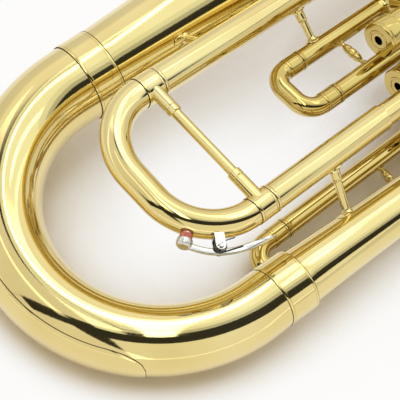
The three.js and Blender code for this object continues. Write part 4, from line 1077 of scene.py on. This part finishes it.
# Softboxes and white cards in the plane of the camera, which looks through a dark slot between them:
# name, middle to the right and up, width and height in metres, roll in degrees, brightness
PANELS = (
    ("card_low_right", (1.21, -1.36), (2.90, 2.40), 0, 0.95),
    ("card_low_left", (-1.36, -1.82), (2.90, 2.57), 21, 0.9),
    ("card_high_left", (-1.89, 0.99), (2.90, 2.60), 21, 0.85),
    ("card_slot_end", (-2.00, -0.575), (1.65, 0.23), 21, 0.85),
    ("softbox_edge", (1.255, 0.36), (2.69, 0.16), 0, 0.6),
    ("softbox_low", (1.255, 0.54), (2.69, 0.20), 0, 1.0),
    ("softbox_high", (1.255, 1.59), (2.69, 1.90), 0, 1.2),
    ("softbox_inner", (-0.17, 0.95), (0.14, 1.60), 0, 1.0),
    ("strip_light", (0.04, 0.95), (0.12, 1.60), 0, 2.8),
    ("strip_left", (-0.62, 0.50), (0.10, 0.90), 21, 0.8),
    ("softbox_bright", (0.66, 1.02), (0.24, 0.76), 0, 1.8),
)
SOFTBOX_TINT = (0.94, 1.0, 1.03)

# The world's light, by height: 0 is level and anything lower, 1 straight up
SKY_BRIGHT = 1.1
SKY_LEVELS = ((0.0, 0.72), (0.45, 0.78), (0.6, 1.0), (1.0, 0.95))
# The world is dark behind the panels, so towards the camera, but not near the picture's up and down. On
# these two ramps, along TOWARD and UP, 0.5 is a direction square to the axis and 1 one along it
BEHIND_PANELS = ((0.0, 1.0), (0.64, 1.0), (0.68, 0.035), (1.0, 0.035))
BESIDE_SLOT = ((0.0, 1.0), (0.08, 1.0), (0.11, 0.035), (0.9, 0.035), (0.93, 1.0))


def table():
    half = 9
    mesh = bpy.data.meshes.new("table_top")
    mesh.from_pydata([(-half, -half, 0), (half, -half, 0), (half, half, 0), (-half, half, 0)], [],
                     [(0, 1, 2, 3)])
    top = new_object("table_top", mesh)
    top.location.z = cad_box[0][2] - 0.0002
    f = Finish("matt_white_table")
    # Its warm cream tint is painted bounce light: it shows where the glow fades near the horn, as the brass's
    # warm light in the table's shade
    f.set(Base_Color=f.ramp(f.noise(40, 2), (0.3, "#efe1c6"), (0.7, "#f3e8d2")), Roughness=0.9)
    # A share of the table's light is its own for the camera and for the metal, so it stays white
    rays = f.add("ShaderNodeLightPath").outputs
    seen = f.add("ShaderNodeMath", {"operation": "MAXIMUM"}, _0=rays["Is Camera Ray"],
                 _1=rays["Is Glossy Ray"])
    # It fades close to the horn, where the floor keeps the horn's shadow
    open_floor = f.add("ShaderNodeAmbientOcclusion", Distance=0.1).outputs["AO"]
    fade = f.add("ShaderNodeMapRange", Value=open_floor, From_Min=0.46, From_Max=0.76, To_Max=0.9)
    share = f.add("ShaderNodeMath", {"operation": "MULTIPLY"}, _0=seen.outputs["Value"],
                  _1=fade.outputs["Result"])
    glow = f.add("ShaderNodeEmission", Color=srgb("#ffffff"), Strength=1.0)
    mix = f.add("ShaderNodeMixShader", Fac=share.outputs["Value"], _1=f.shader.outputs["BSDF"],
                _2=glow.outputs["Emission"])
    f.put(f.tree.nodes["Material Output"], Surface=mix.outputs["Shader"])
    mesh.materials.append(f.material)


def surroundings():
    """A bright studio that is dark behind the panels, and the panels."""
    world = bpy.data.worlds.new("studio")
    bpy.context.scene.world = world
    world.use_nodes = True
    sky = Nodes(world.node_tree)
    direction = sky.add("ShaderNodeTexCoord").outputs["Generated"]
    height = sky.add("ShaderNodeSeparateXYZ", Vector=direction).outputs["Z"]

    def mixed(blend, first, second):
        return sky.add("ShaderNodeMix", {"data_type": "RGBA", "blend_type": blend}, Factor=1, _6=first,
                       _7=second).outputs[2]

    def along(axis):
        dot = sky.add("ShaderNodeVectorMath", {"operation": "DOT_PRODUCT"}, _0=direction, _1=axis)
        return sky.add("ShaderNodeMapRange", Value=dot.outputs["Value"], From_Min=-1.0).outputs["Result"]

    dark = mixed("LIGHTEN", sky.ramp(along(TOWARD), *BEHIND_PANELS), sky.ramp(along(UP), *BESIDE_SLOT))
    sky.put(sky.tree.nodes["Background"], Strength=SKY_BRIGHT,
            Color=mixed("MULTIPLY", sky.ramp(height, *SKY_LEVELS), dark))

    for name, (right, up), (width, tall), roll, bright in PANELS:
        light = bpy.data.lights.new(name, "AREA")
        light.shape = "RECTANGLE"
        light.size, light.size_y = width, tall
        light.energy = bright * pi * width * tall
        light.color = SOFTBOX_TINT if name.startswith("softbox") else (1, 1, 1)
        panel = new_object(name, light)
        place = Matrix.Translation(EYE * MM + RIGHT * right + UP * up) @ VIEW
        panel.matrix_world = place @ Matrix.Rotation(radians(roll), 4, "Z")
        panel.visible_camera = False


def camera():
    """The photograph's camera, as fitted to points of the instrument."""
    data = bpy.data.cameras.new("camera")
    data.sensor_width = 36
    data.lens = 110.552
    data.clip_end = 50
    piece = new_object("camera", data)
    piece.matrix_world = Matrix.Translation(EYE * MM) @ VIEW
    bpy.context.scene.camera = piece


table()
surroundings()
camera()
bpy.context.scene.view_settings.view_transform = "Standard"
